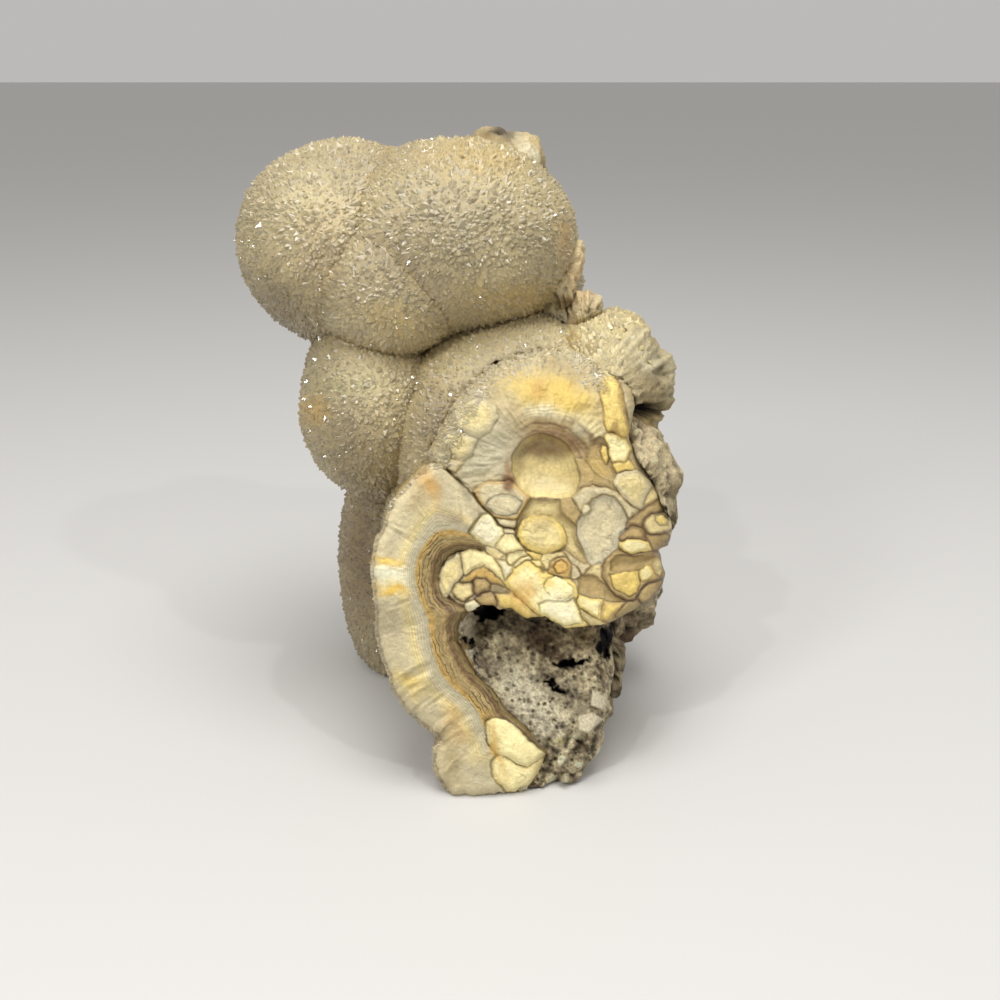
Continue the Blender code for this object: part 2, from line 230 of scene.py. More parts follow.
# Cells of the broken face. Their outlines are read off an enlargement of the photograph that starts at its
# pixel ENLARGED_FROM. Each has a height in millimetres (a hollow is negative), the width of its rounded edge
# in pixels, and its colour in the middle and at the edge. Neighbours share the ground between them.
ENLARGED_FROM = (350, 340)
ENLARGED = 4.48
CELLS = {
    "bowl_upper": (
        [(735, 560), (745, 510), (775, 465), (815, 442), (860, 434), (910, 445), (955, 475), (990, 520),
         (1012, 570), (1025, 620), (1015, 665), (990, 700), (940, 708), (880, 706), (830, 702),
         (790, 680), (755, 630)], -6.0, 20, CREAM, CREAM),
    "bowl_lower": (
        [(790, 735), (820, 706), (880, 710), (940, 712), (945, 770), (975, 800), (1008, 830),
         (1010, 870), (1030, 910), (1052, 950), (1060, 1000), (1030, 990), (1000, 965), (960, 940),
         (900, 950), (850, 955), (800, 940), (765, 915), (745, 880), (742, 840), (760, 790)],
        -1.8, 10, CREAM, OLIVE),
    "bowl_side": ([(942, 716), (985, 707), (1015, 740), (1028, 775), (1010, 825), (975, 800), (945, 770)],
                  0.5, 6, TAN, OLIVE),
    "grey_oval": (
        [(1022, 830), (1040, 795), (1062, 745), (1085, 712), (1130, 692), (1180, 705), (1220, 745),
         (1242, 800), (1235, 850), (1205, 885), (1195, 930), (1165, 965), (1135, 1000), (1100, 1000),
         (1068, 990), (1050, 950), (1030, 910), (1012, 870)], -1.2, 15, PALE, GREY_BLUE),
    "oval_crown": (
        [(1000, 700), (1030, 665), (1090, 650), (1150, 655), (1210, 690), (1250, 730), (1290, 765),
         (1262, 800), (1242, 800), (1220, 745), (1180, 705), (1130, 690), (1085, 710), (1062, 740),
         (1030, 765), (1012, 735)], 0.8, 6, PALE, TAN),
    "bowl_flank": (
        [(1010, 540), (1050, 545), (1075, 565), (1100, 600), (1150, 630), (1200, 680), (1210, 690),
         (1150, 655), (1090, 650), (1040, 660), (1015, 690), (1025, 640), (1028, 600)],
        0.4, 6, TAN, OLIVE),
    "yellow_cell": (
        [(1066, 545), (1070, 500), (1090, 465), (1120, 446), (1145, 465), (1155, 520), (1170, 560),
         (1190, 600), (1175, 640), (1140, 625), (1100, 600), (1078, 570)], -1.2, 8, TAN, OLIVE),
    "rib": (
        [(1126, 187), (1168, 161), (1202, 204), (1219, 271), (1228, 340), (1240, 415), (1225, 436),
         (1175, 416), (1158, 400), (1151, 356), (1143, 289), (1129, 237)], 1.6, 7, YELLOW, GOLD),
    "block_upper": ([(1150, 430), (1175, 420), (1225, 440), (1245, 490), (1232, 540), (1180, 545),
                     (1160, 510)], 1.4, 6, IVORY, YELLOW),
    "block_lower": ([(1178, 562), (1205, 547), (1245, 547), (1262, 575), (1230, 590), (1195, 592)],
                    1.0, 4, YELLOW, TAN),
    "lump_right": (
        [(1185, 640), (1200, 605), (1240, 590), (1290, 600), (1330, 630), (1350, 660), (1325, 695),
         (1310, 755), (1280, 745), (1250, 725), (1215, 690), (1190, 665)], 3.0, 14, CREAM, PALE),
    "lump_right_tip": ([(1350, 660), (1372, 675), (1385, 700), (1360, 730), (1316, 755), (1328, 695)],
                       1.6, 8, CREAM, TAN),
    "tail_brown": (
        [(1290, 770), (1330, 745), (1370, 715), (1390, 700), (1420, 745), (1400, 768), (1350, 780),
         (1325, 800), (1310, 840), (1290, 830), (1250, 832), (1225, 860), (1205, 880), (1210, 850),
         (1235, 815), (1262, 800)], 0.8, 7, TAN, BROWN),
    "taper_top": ([(1205, 885), (1225, 860), (1260, 838), (1300, 845), (1320, 852), (1318, 880),
                   (1335, 900), (1290, 890), (1240, 890), (1218, 905)], 1.4, 8, TAN, BROWN),
    "taper_base": ([(1212, 905), (1240, 892), (1290, 892), (1335, 905), (1350, 935), (1310, 950),
                    (1250, 957), (1215, 940)], 1.8, 8, IVORY, YELLOW),
    "edge_cell": (
        [(1325, 802), (1350, 782), (1380, 775), (1410, 770), (1440, 800), (1448, 830), (1420, 850),
         (1385, 870), (1345, 870), (1320, 852), (1312, 825)], 2.0, 8, CREAM, BROWN),
    "edge_base": ([(1330, 880), (1370, 880), (1410, 870), (1425, 880), (1402, 900), (1415, 930),
                   (1360, 945), (1345, 920)], 1.0, 6, TAN, BROWN),
    "ring": (
        [(1126, 1060), (1128, 1010), (1148, 968), (1180, 942), (1215, 938), (1260, 958), (1320, 955),
         (1370, 945), (1397, 960), (1402, 1000), (1397, 1050), (1370, 1090), (1340, 1088), (1310, 1110),
         (1300, 1140), (1270, 1167), (1230, 1162), (1190, 1142), (1155, 1112)], 1.2, 7, TAN, BROWN),
    "nook": ([(1300, 1125), (1330, 1097), (1375, 1075), (1392, 1085), (1375, 1112), (1342, 1152),
              (1310, 1175), (1288, 1155)], 0.6, 6, TAN, BROWN),
    "tan_lower": (
        [(1030, 1075), (1060, 1055), (1105, 1062), (1130, 1087), (1160, 1117), (1200, 1147),
         (1240, 1166), (1180, 1170), (1130, 1152), (1080, 1150), (1045, 1140), (1030, 1110)],
        -1.2, 7, TAN, OLIVE),
    "tan_upper": ([(1058, 1050), (1080, 1015), (1122, 998), (1128, 1030), (1126, 1060), (1140, 1090),
                   (1108, 1062)], 0.5, 5, CREAM, TAN),
    "low_left": ([(1022, 1165), (1040, 1150), (1085, 1154), (1130, 1165), (1128, 1215), (1120, 1250),
                  (1070, 1225), (1030, 1200)], 2.0, 9, IVORY, YELLOW),
    "low_left_lip": ([(1028, 1205), (1065, 1230), (1115, 1254), (1140, 1278), (1095, 1278),
                      (1050, 1250)], 1.2, 5, CREAM, TAN),
    "low_right": ([(1136, 1170), (1180, 1175), (1235, 1172), (1215, 1200), (1185, 1225), (1150, 1255),
                   (1132, 1252), (1130, 1210)], 2.0, 9, YELLOW, TAN),
    "low_corner": ([(1240, 1172), (1290, 1165), (1305, 1185), (1262, 1215), (1205, 1240), (1188, 1228),
                    (1215, 1202)], 1.4, 6, OLIVE, BROWN),
    "large": (
        [(690, 1085), (720, 1050), (745, 1022), (785, 990), (812, 1002), (860, 1012), (862, 1042),
         (905, 1050), (955, 1068), (995, 1100), (1010, 1130), (1015, 1180), (1030, 1230), (1052, 1278),
         (960, 1286), (930, 1268), (900, 1252), (860, 1240), (820, 1202), (780, 1162), (740, 1122)],
        3.2, 17, IVORY, YELLOW),
    "chip_cream": ([(738, 1000), (770, 976), (800, 970), (815, 985), (785, 990), (745, 1022)],
                   1.2, 5, IVORY, CREAM),
    "chip_pale": ([(812, 988), (845, 986), (862, 1005), (860, 1038), (830, 1012)], 1.2, 5, IVORY, YELLOW),
    "yellow_spot": ([(802, 950), (840, 948), (862, 965), (850, 988), (820, 985)], 0.8, 5, YELLOW, YELLOW),
    "above_disc": ([(862, 955), (900, 955), (950, 955), (975, 975), (935, 973), (903, 990), (888, 1025),
                    (865, 1010), (855, 985)], 0.6, 5, CREAM, TAN),
    "disc": ([(888, 1032), (898, 995), (928, 970), (967, 973), (992, 1005), (987, 1047), (960, 1067),
              (912, 1052)], 1.0, 5, GOLD, TAN),
    "beside_disc": ([(992, 1007), (1015, 1015), (1032, 1035), (1022, 1057), (1000, 1062), (987, 1047)],
                    0.8, 4, PALE, TAN),
    "grey_chip": ([(977, 975), (962, 945), (1000, 965), (1035, 992), (1062, 1003), (1080, 1015),
                   (1050, 1042), (1032, 1035), (1012, 1012), (992, 1003)], 0.6, 5, PALE, TAN),
    "white_triangle": ([(650, 985), (690, 990), (705, 1005), (735, 1042), (700, 1082), (680, 1052),
                        (670, 1015)], 1.4, 6, WHITE, CREAM),
    "strip_left": ([(618, 925), (660, 945), (700, 970), (690, 990), (650, 977), (630, 952)],
                   0.8, 4, CREAM, PALE),
    "strip_right": ([(700, 975), (720, 955), (760, 950), (800, 965), (770, 976), (738, 1000),
                     (712, 1006)], 1.0, 5, IVORY, TAN),
    "chunk_arm": ([(545, 862), (575, 820), (600, 790), (630, 790), (660, 820), (690, 850), (685, 880),
                   (660, 910), (625, 920), (590, 895)], 1.8, 9, WHITE, IVORY),
    "chunk_end": ([(655, 905), (690, 870), (735, 870), (745, 900), (775, 935), (740, 942), (690, 940),
                   (660, 925)], 1.4, 7, IVORY, CREAM),
    "chip_arm": ([(690, 842), (725, 845), (745, 870), (735, 872), (690, 868), (680, 855)],
                 0.8, 4, PALE, TAN),
    "under_nodule": ([(655, 802), (700, 806), (752, 808), (745, 835), (700, 838), (665, 825)],
                     0.4, 4, PALE, TAN),
    "nodule": ([(565, 682), (600, 652), (650, 640), (710, 645), (760, 670), (800, 710), (790, 735),
                (760, 790), (745, 806), (700, 802), (650, 790), (610, 750), (585, 715)],
               1.6, 12, PALE, GOLD),
    "knob_upper": ([(490, 330), (500, 290), (540, 270), (600, 275), (640, 300), (650, 350), (620, 400),
                    (570, 430), (530, 425), (495, 390)], 3.0, 16, CREAM, PALE),
    "knob_middle": ([(430, 470), (440, 430), (480, 412), (530, 425), (560, 450), (540, 500), (500, 540),
                     (450, 530)], 2.2, 12, CREAM, PALE),
    "knob_lower": ([(375, 530), (385, 500), (430, 485), (450, 530), (500, 545), (470, 580), (430, 570)],
                   1.6, 8, PALE, TAN),
    "arch_left": ([(415, 1050), (432, 1005), (470, 985), (490, 965), (500, 1010), (490, 1060),
                   (460, 1100), (430, 1142), (415, 1100)], 2.0, 9, CREAM, PALE),
    "arch_top": ([(497, 965), (540, 945), (600, 955), (650, 985), (690, 1040), (700, 1085), (660, 1060),
                  (640, 1035), (600, 1010), (560, 1020), (520, 1050), (502, 1010)], 2.2, 9, IVORY, CREAM),
    "arch_orange": ([(500, 1078), (530, 1052), (560, 1030), (600, 1015), (640, 1040), (670, 1070),
                     (692, 1100), (650, 1090), (610, 1062), (560, 1055), (520, 1080), (505, 1097)],
                    1.6, 5, GOLD, OLIVE),
    "pod_left": ([(468, 1115), (480, 1095), (510, 1085), (547, 1100), (545, 1135), (510, 1157),
                  (480, 1150)], 1.6, 8, CREAM, OLIVE),
    "ball_arch": ([(560, 1090), (575, 1070), (605, 1072), (624, 1095), (615, 1125), (580, 1135),
                   (562, 1115)], 1.6, 8, TAN, BROWN),
    "pod_right": ([(573, 1162), (600, 1135), (640, 1140), (662, 1170), (640, 1187), (590, 1182)],
                  1.6, 7, TAN, BROWN),
    "lip_long": ([(660, 1135), (700, 1140), (750, 1170), (800, 1210), (838, 1242), (800, 1247),
                  (760, 1222), (700, 1202), (670, 1177)], 1.6, 8, YELLOW, TAN),
    "lip_grey": ([(638, 1100), (670, 1105), (702, 1130), (665, 1137), (640, 1122)], 0.6, 4, GREY, OLIVE),
    "lip_white": ([(523, 1187), (560, 1180), (577, 1195), (555, 1217), (533, 1207)], 1.2, 4, WHITE, CREAM),
    "foot_blob": (
        [(622, 1715), (645, 1700), (690, 1712), (745, 1752), (790, 1800), (825, 1830), (862, 1860),
         (825, 1890), (788, 1910), (745, 1890), (700, 1865), (655, 1842), (628, 1805), (620, 1760)],
        3.4, 14, IVORY, IVORY),
    "foot_blob_low": (
        [(640, 1900), (665, 1868), (700, 1873), (745, 1902), (790, 1915), (838, 1892), (866, 1866),
         (850, 1915), (805, 1985), (760, 2018), (700, 2012), (668, 1980), (645, 1940)],
        2.8, 14, IVORY, CREAM),
}
INNER_CELLS = {
    "ball_lower": (
        [(747, 880), (752, 835), (775, 802), (815, 786), (870, 784), (915, 798), (950, 835), (970, 880),
         (972, 915), (945, 940), (900, 952), (850, 955), (800, 940), (765, 915)], 3.0, 18, CREAM, YELLOW),
    "white_spot": ([(1038, 762), (1048, 737), (1070, 735), (1082, 760), (1062, 782), (1043, 782)],
                   1.2, 5, WHITE, CREAM),
    "yellow_tip": ([(1128, 470), (1148, 478), (1160, 530), (1150, 562), (1130, 540), (1120, 500)],
                   0.6, 6, YELLOW, YELLOW),
    "edge_tip": ([(1368, 790), (1400, 780), (1432, 803), (1422, 826), (1390, 828), (1368, 812)],
                 1.0, 6, YELLOW, CREAM),
    "ring_top": ([(1165, 1032), (1170, 995), (1195, 965), (1230, 960), (1290, 970), (1340, 967),
                  (1375, 965), (1358, 985), (1310, 1008), (1250, 1028), (1200, 1036)], -1.6, 8, OLIVE, TAN),
    "ring_base": ([(1160, 1050), (1200, 1044), (1255, 1037), (1290, 1027), (1295, 1060), (1298, 1090),
                   (1288, 1130), (1260, 1150), (1220, 1135), (1180, 1105)], 1.8, 10, YELLOW, YELLOW),
    "ring_corner": ([(1298, 1024), (1330, 1008), (1347, 1012), (1362, 1040), (1347, 1070), (1320, 1082),
                     (1302, 1085), (1298, 1055)], 1.2, 7, IVORY, YELLOW),
    "ring_edge": ([(1358, 992), (1385, 968), (1402, 990), (1400, 1030), (1387, 1060), (1366, 1045),
                   (1352, 1015)], 1.0, 6, CREAM, TAN),
    "orange_disc": ([(912, 1015), (923, 992), (948, 984), (970, 998), (975, 1022), (958, 1044),
                     (928, 1044)], 0.8, 6, ORANGE, ORANGE),
    "nodule_core": ([(610, 745), (625, 707), (680, 690), (740, 700), (770, 730), (750, 775), (700, 790),
                     (655, 780)], 0.8, 10, PALE, GREY_BLUE),
    "large_right": ([(868, 1100), (882, 1066), (920, 1053), (965, 1076), (1000, 1110), (1005, 1140),
                     (960, 1165), (910, 1155), (880, 1130)], 0.9, 12, IVORY, IVORY),
    "large_base": ([(842, 1182), (900, 1166), (960, 1172), (1006, 1152), (1018, 1200), (1045, 1272),
                    (960, 1280), (900, 1247), (852, 1217)], 0.9, 12, WHITE, IVORY),
}
GAP_FILL_PX = 3.0
FAR_PX = 10
LINE_WIDTH_PX = 0.85
BROWN_LINES = 21
PALE_LINES = 30
LINE_DARK = 0.78
LINE_DEEP = 0.5
TONE_SHARE = 0.9
CELL_RINGS = 0.16
SOFT_KNOBS = 0.65
CELL_HEIGHT = 0.5
CELL_ROUND = 0.65
GROUND_LIGHT = 0.86
VEIN_WIDTH = 0.035

# Soft patches of colour, in pixels of the photograph: centre, radii, turn in degrees, colour and strength.
FACE_PATCHES = [
    ((530, 388), (30, 17), 10, (236, 206, 112), 0.85),
    ((570, 397), (28, 16), 28, (242, 208, 104), 0.9),
    ((539, 387), (8, 9), 20, (222, 172, 98), 0.65),
    ((590, 428), (14, 12), 20, IVORY, 0.6),
    ((580, 432), (8, 6), 0, GREY_BLUE, 0.6),
    ((508, 466), (4, 16), -10, (150, 104, 48), 0.9),
    ((507, 482), (5, 9), -30, RUST, 1.0),
    # Painted shade: brown darkening the top of the upper bowl's hollow.
    ((545, 447), (34, 7), 0, BROWN, 0.5),
    ((592, 436), (22, 3), 40, BROWN, 0.5),
    ((523, 592), (9, 15), 25, ORANGE, 0.6),
    ((548, 583), (8, 6), 0, YELLOW, 0.7),
    ((494, 748), (5, 30), -14, GOLD, 0.8),
    # Painted shade: more brown darkening over the top of the upper bowl's hollow.
    ((548, 440), (34, 9), 0, BROWN, 0.5),
    # Painted shade: olive darkening the top of the lower bowl's hollow.
    ((545, 516), (26, 9), 0, OLIVE, 0.5),
    ((488, 452), (24, 34), 35, GREY_BLUE, 0.8),
]
CELL_PATCHES = [
    # Painted shade: the darker top of the upper bowl's hollow.
    ((545, 449), (30, 9), 0, (140, 116, 74), 0.65),
    # Painted highlight: the lighter bottom of the upper bowl, where light falls into it.
    ((548, 485), (24, 8), 0, (244, 230, 184), 0.6),
    ((524, 468), (5, 14), 10, OLIVE, 0.4),
    ((600, 470), (12, 10), 30, (214, 182, 104), 0.5),
    ((523, 592), (9, 13), 25, (232, 190, 120), 0.5),
    ((555, 600), (14, 12), 0, (255, 246, 214), 0.5),
    ((660, 548), (8, 12), 0, BROWN, 0.4),
    ((612, 426), (6, 7), 0, RUST, 0.6),
    ((604, 388), (4, 12), -20, BROWN, 0.5),
    ((623, 402), (4, 20), -10, BROWN, 0.5),
]
CRESCENT_PATCHES = [
    ((390, 575), (25, 13), 0, (255, 250, 212), 1.0),
    ((394, 589), (22, 6), 0, (246, 204, 92), 1.0),
    ((386, 561), (18, 5), 0, (246, 204, 92), 0.9),
    ((431, 488), (9, 19), -30, (222, 170, 84), 0.95),
    ((446, 500), (10, 18), -40, GREY_BLUE, 0.6),
    ((416, 500), (12, 16), 30, TAN, 0.5),
    ((407, 684), (20, 10), 35, YELLOW, 0.85),
    ((398, 620), (18, 18), 0, GREY, 0.35),
    ((455, 722), (10, 24), -20, ORANGE, 0.55),
    ((452, 760), (13, 30), 0, OLIVE, 0.6),
    ((470, 790), (26, 9), 0, PALE, 0.6),
    # Painted shadow: a grey-brown diagonal band below the crack.
    ((463, 530), (30, 12), 38, (150, 132, 104), 1.0),
    ((480, 775), (12, 20), 0, GREY_BLUE, 0.5),
]

# The same for the crystals and the ground under them, where they face the camera.
DRUZY_PATCHES = [
    ((480, 158), (50, 17), 8, (196, 166, 96), 0.6),
    # Partly a real yellow-tan tone, partly painted light that lifts the shaded underside of the upper right
    # lobe.
    ((516, 298), (56, 16), 0, (192, 164, 100), 0.7),
    ((398, 322), (36, 16), 15, (200, 172, 108), 0.5),
    ((318, 250), (22, 34), 10, (186, 164, 126), 0.5),
    ((440, 158), (70, 22), 4, (176, 156, 108), 0.45),
    ((302, 202), (24, 14), -20, (214, 196, 146), 0.5),
    # Painted shade: the darker lower left of the upper left lobe.
    ((275, 308), (44, 34), 25, (134, 116, 84), 0.65),
    ((312, 411), (18, 14), 20, GOLD, 0.6),
    ((350, 385), (30, 16), 0, (186, 176, 128), 0.5),
    ((436, 425), (30, 42), 10, (122, 106, 76), 0.75),
    ((345, 440), (46, 40), 20, (150, 132, 96), 0.45),
    ((564, 240), (9, 20), -10, (206, 166, 104), 0.5),
    ((590, 335), (40, 28), 20, (222, 206, 160), 0.6),
    # Painted shade: dark brown over the rear lower left lobe, which stands in shadow.
    ((362, 560), (36, 90), 0, (112, 88, 54), 0.75),
]
RIND_PATCHES = [
    ((500, 131), (20, 7), 5, DARK, 0.95),
    ((459, 137), (26, 8), -5, RUST, 0.45),
    ((522, 155), (24, 16), 30, (206, 196, 164), 0.8),
    ((582, 280), (16, 30), -20, (226, 198, 152), 0.85),
    # Painted shadow: brown under the lower end of the broken flake.
    ((566, 303), (9, 12), 0, BROWN, 0.8),
    ((615, 345), (34, 30), 20, (206, 192, 152), 0.75),
    ((650, 385), (20, 26), 0, GREY, 0.85),
    ((650, 362), (10, 10), 0, WHITE, 0.6),
]
ROCK_PATCHES = [
    ((515, 680), (30, 17), 38, (248, 236, 200), 0.75),
    ((534, 712), (32, 22), 35, (248, 238, 206), 0.8),
    ((590, 640), (22, 12), 20, (176, 152, 112), 0.5),
    ((572, 705), (26, 22), 20, (240, 226, 188), 0.55),
    ((470, 640), (8, 26), -10, (244, 234, 206), 0.7),
    # Painted shadow: dark under the lip of the hollow.
    ((520, 622), (52, 14), 5, DARK, 0.75),
    # Painted shadow: more dark under the lip of the hollow.
    ((540, 636), (20, 18), 0, DARK, 0.6),
    ((566, 692), (20, 12), 40, DARK, 0.5),
    # Painted shadow: brown under the lip of the hollow.
    ((556, 640), (34, 14), 0, BROWN, 0.4),
    ((556, 737), (8, 3), 5, IVORY, 0.9),
    # Partly a real yellow tone, partly painted light that lifts the rock side shaded by the shoulder.
    ((656, 455), (26, 56), 0, (255, 232, 184), 1.0),
    ((636, 630), (20, 30), 0, (150, 122, 92), 0.6),
]

# The rock in the hollow: its outline, and holes with centre, radii and turn in pixels and degrees, and depth.
HOLLOW_ROCK = [
    (455, 640), (458, 606), (480, 596), (520, 602), (560, 614), (600, 610), (612, 625), (613, 636),
    (611, 650), (615, 670), (612, 684), (610, 698), (613, 714), (604, 725), (605, 739), (596, 756),
    (582, 770), (567, 778), (550, 785), (533, 788), (518, 782), (528, 748), (503, 716), (478, 690),
    (462, 665),
]
ROCK_BLOCKS = [
    [(592, 689), (606, 698), (605, 711), (590, 706)],
    [(577, 716), (592, 712), (604, 719), (589, 734), (578, 731)],
]
# Each hole is also darkened towards near-black as painted shade.
ROCK_HOLES = [
    ((489, 611), (14, 8), 0, 12.0),
    ((468, 642), (6, 5), 20, 4.5),
    ((474, 659), (3, 3), 0, 3.0),
    ((572, 664), (16, 3.4), -4, 8.0),
    ((556, 687), (13, 2.8), 45, 5.0),
    ((604, 641), (6, 15), 0, 7.0),
    ((650, 411), (17, 8), -5, 12.0),
    ((612, 628), (5, 14), 0, 6.0),
]

# The crescent's bands from its outer edge (0) to the hollow (1).
CRESCENT_BANDS = [
    (0.0, TAN), (0.03, PALE), (0.1, PALE), (0.28, PALE), (0.42, CREAM), (0.48, PALE), (0.6, GREY_BLUE),
    (0.65, GOLD), (0.74, OLIVE), (0.8, TAN), (0.88, BROWN), (0.94, OLIVE), (1.0, BROWN),
]


def linear(colour):
    """Linear light from sRGB of 0 to 255."""
    c = np.asarray(colour, float) / 255
    return np.where(c <= 0.04045, c / 12.92, ((c + 0.055) / 1.055) ** 2.4)


def smoothstep(low, high, value):
    t = np.clip((value - low) / (high - low), 0, 1)
    return t * t * (3 - 2 * t)


def mixed(a, b, share):
    """Between a and b, colour by colour."""
    share = np.asarray(share)[..., None]
    return a * (1 - share) + b * share


# Noise


def lattice(cell, seed):
    """Repeatable numbers from 0 to 1 for whole-number cells."""
    x, y, z = (cell[..., i].astype(np.int64) for i in range(3))
    h = x * 73856093 ^ y * 19349663 ^ z * 83492791 ^ seed * 26544357
    for shift, factor in ((13, 1274126177), (15, 668265263)):
        h = ((h ^ (h >> shift)) & 0x7FFFFFFF) * factor & 0x7FFFFFFF
    h ^= h >> 12
    return (h & 0xFFFFF) / 0x100000


def soft_noise(points, length, seed=0):
    """Soft noise from -1 to 1 with bumps of about this length."""
    p = np.asarray(points, float) / length
    low = np.floor(p)
    f = p - low
    f = f * f * (3 - 2 * f)
    total = np.zeros(p.shape[:-1])
    for corner in itertools.product((0, 1), repeat=3):
        share = np.prod(np.where(np.array(corner) == 1, f, 1 - f), axis=-1)
        total += share * lattice(low + corner, seed)
    return 2 * total - 1


def layered_noise(points, length, seed=0, layers=3):
    total = 0
    for i in range(layers):
        total = total + soft_noise(points, length / 2**i, seed + 17 * i) / 2**i
    return total / 1.6


def cell_distance(points, length, seed=0):
    """Distance to the nearest of scattered centres, as a share of the length."""
    p = np.asarray(points, float) / length
    low = np.floor(p)
    nearest = np.full(p.shape[:-1], 9.0)
    for step in itertools.product((-1, 0, 1), repeat=3):
        cell = low + step
        centre = cell + np.stack([lattice(cell, seed + k) for k in range(3)], axis=-1)
        nearest = np.minimum(nearest, ((p - centre) ** 2).sum(axis=-1))
    return np.sqrt(nearest)


def flat(px, py):
    """Pixels as points for the noise."""
    return np.stack([px, py, np.zeros_like(px)], axis=-1)


# Outlines


def to_line(px, py, line, closed):
    """Distance in pixels to a line of points, the nearest point on it, and how far along it that lies."""
    line = np.array(line, float)
    ends = np.roll(line, -1, axis=0) if closed else line[1:]
    starts = line if closed else line[:-1]
    best = np.full(px.shape, 1e9)
    near_x = np.zeros_like(best)
    near_y = np.zeros_like(best)
    along = np.zeros_like(best)
    passed = 0.0
    for (ax, ay), (bx, by) in zip(starts, ends):
        dx, dy = bx - ax, by - ay
        length = math.hypot(dx, dy)
        if length == 0:
            continue
        t = np.clip(((px - ax) * dx + (py - ay) * dy) / length**2, 0, 1)
        x, y = ax + t * dx, ay + t * dy
        distance = np.hypot(px - x, py - y)
        nearer = distance < best
        best = np.where(nearer, distance, best)
        near_x = np.where(nearer, x, near_x)
        near_y = np.where(nearer, y, near_y)
        along = np.where(nearer, passed + t * length, along)
        passed += length
    return best, near_x, near_y, along


def near_box(px, py, outline, margin):
    """True near an outline's box."""
    x, y = zip(*outline)
    across = (px > min(x) - margin) & (px < max(x) + margin)
    return across & (py > min(y) - margin) & (py < max(y) + margin)


def inside(px, py, outline):
    """True inside a closed outline."""
    near = near_box(px, py, outline, 0)
    x, y = px[near], py[near]
    within = np.zeros(x.shape, bool)
    for (ax, ay), (bx, by) in zip(outline, outline[1:] + outline[:1]):
        if ay == by:
            continue
        crosses = (ay > y) != (by > y)
        within ^= crosses & (x < (bx - ax) * (y - ay) / (by - ay) + ax)
    result = np.zeros(px.shape, bool)
    result[near] = within
    return result


def depth_inside(px, py, outline):
    """Pixels inside an outline's edge, and negative outside it, with FAR_PX for what is further off."""
    near = near_box(px, py, outline, FAR_PX)
    x, y = px[near], py[near]
    distance = to_line(x, y, outline, True)[0]
    result = np.full(px.shape, -float(FAR_PX))
    result[near] = np.where(inside(x, y, outline), distance, -distance)
    return result


# Lines of sight


def sight_line(px, py):
    a = (px - PHOTO_SIDE / 2) / FOCAL
    b = (PHOTO_SIDE / 2 - py) / FOCAL
    c, s = math.cos(CAMERA_PITCH), math.sin(CAMERA_PITCH)
    return np.stack([a, c + b * s, b * c - s], axis=-1)


def at_depth(px, py, y):
    """Where the lines of sight of these pixels reach a depth."""
    line = sight_line(px, py)
    return CAMERA + line * ((y - CAMERA[1]) / line[..., 1])[..., None]


def leaning_depth(px, py, forward):
    """The depth at which lines of sight meet a plane that leans back."""
    line = sight_line(px, py)
    tangent = math.tan(FACE_LEAN)
    reach = (CAMERA[2] * tangent - forward - CAMERA[1]) / (line[..., 1] - line[..., 2] * tangent)
    return CAMERA[1] + line[..., 1] * reach


def pixel_of(points):
    """The pixels of points in the working frame."""
    d = points - CAMERA
    c, s = math.cos(CAMERA_PITCH), math.sin(CAMERA_PITCH)
    reach = d[..., 1] * c - d[..., 2] * s
    px = PHOTO_SIDE / 2 + FOCAL * d[..., 0] / reach
    py = PHOTO_SIDE / 2 - FOCAL * (d[..., 1] * s + d[..., 2] * c) / reach
    return px, py


# Meshes


def mesh_object(name, points, faces, smooth):
    """A new object from points in millimetres and an array of faces."""
    data = bpy.data.meshes.new(name)
    data.vertices.add(len(points))
    data.vertices.foreach_set("co", ((points - ORIGIN) * MM).astype(np.float32).ravel())
    data.loops.add(faces.size)
    data.loops.foreach_set("vertex_index", faces.astype(np.int32).ravel())
    data.polygons.add(len(faces))
    data.polygons.foreach_set("loop_start", np.arange(0, faces.size, faces.shape[1], dtype=np.int32))
    data.polygons.foreach_set("use_smooth", np.full(len(faces), smooth))
    data.update(calc_edges=True)
    obj = bpy.data.objects.new(name, data)
    bpy.context.scene.collection.objects.link(obj)
    return obj


def add_number(obj, name, values):
    attribute = obj.data.attributes.new(name, "FLOAT", "POINT")
    attribute.data.foreach_set("value", np.asarray(values, np.float32))


def add_tint(obj, colours):
    attribute = obj.data.attributes.new("tint", "FLOAT_COLOR", "POINT")
    full = np.ones((len(colours), 4), np.float32)
    full[:, :3] = colours
    attribute.data.foreach_set("color", full.ravel())


def unit_ball(detail):
    """Points and triangles of a ball of radius 1."""
    bm = bmesh.new()
    bmesh.ops.create_icosphere(bm, subdivisions=detail, radius=1)
    points = np.array([v.co[:] for v in bm.verts])
    faces = np.array([[v.index for v in f.verts] for f in bm.faces])
    bm.free()
    return points, faces


def blender_noise(points, length):
    return np.array([noise.noise(Vector(p)) for p in points / length])


def on_lobe(unit, centre, radii, rough=(0.0, 1.0)):
    """Points of a lobe and their outward directions, from directions of length 1, with part.py's lumps."""
    place = np.array(centre) + unit * np.array(radii)
    outward = unit / np.array(radii)
    outward /= np.linalg.norm(outward, axis=1)[:, None]
    lift = SWELL[0] * blender_noise(place, SWELL[1])
    if rough[0]:
        lift = lift + rough[0] * blender_noise(place, rough[1])
    return place + outward * lift[:, None], outward


def depth_in(points, centre, radii):
    """How deep points lie in a lobe, as a share of its radii: 1 on its surface, less inside."""
    return np.sqrt((((points - np.array(centre)) / np.array(radii)) ** 2).sum(axis=1))


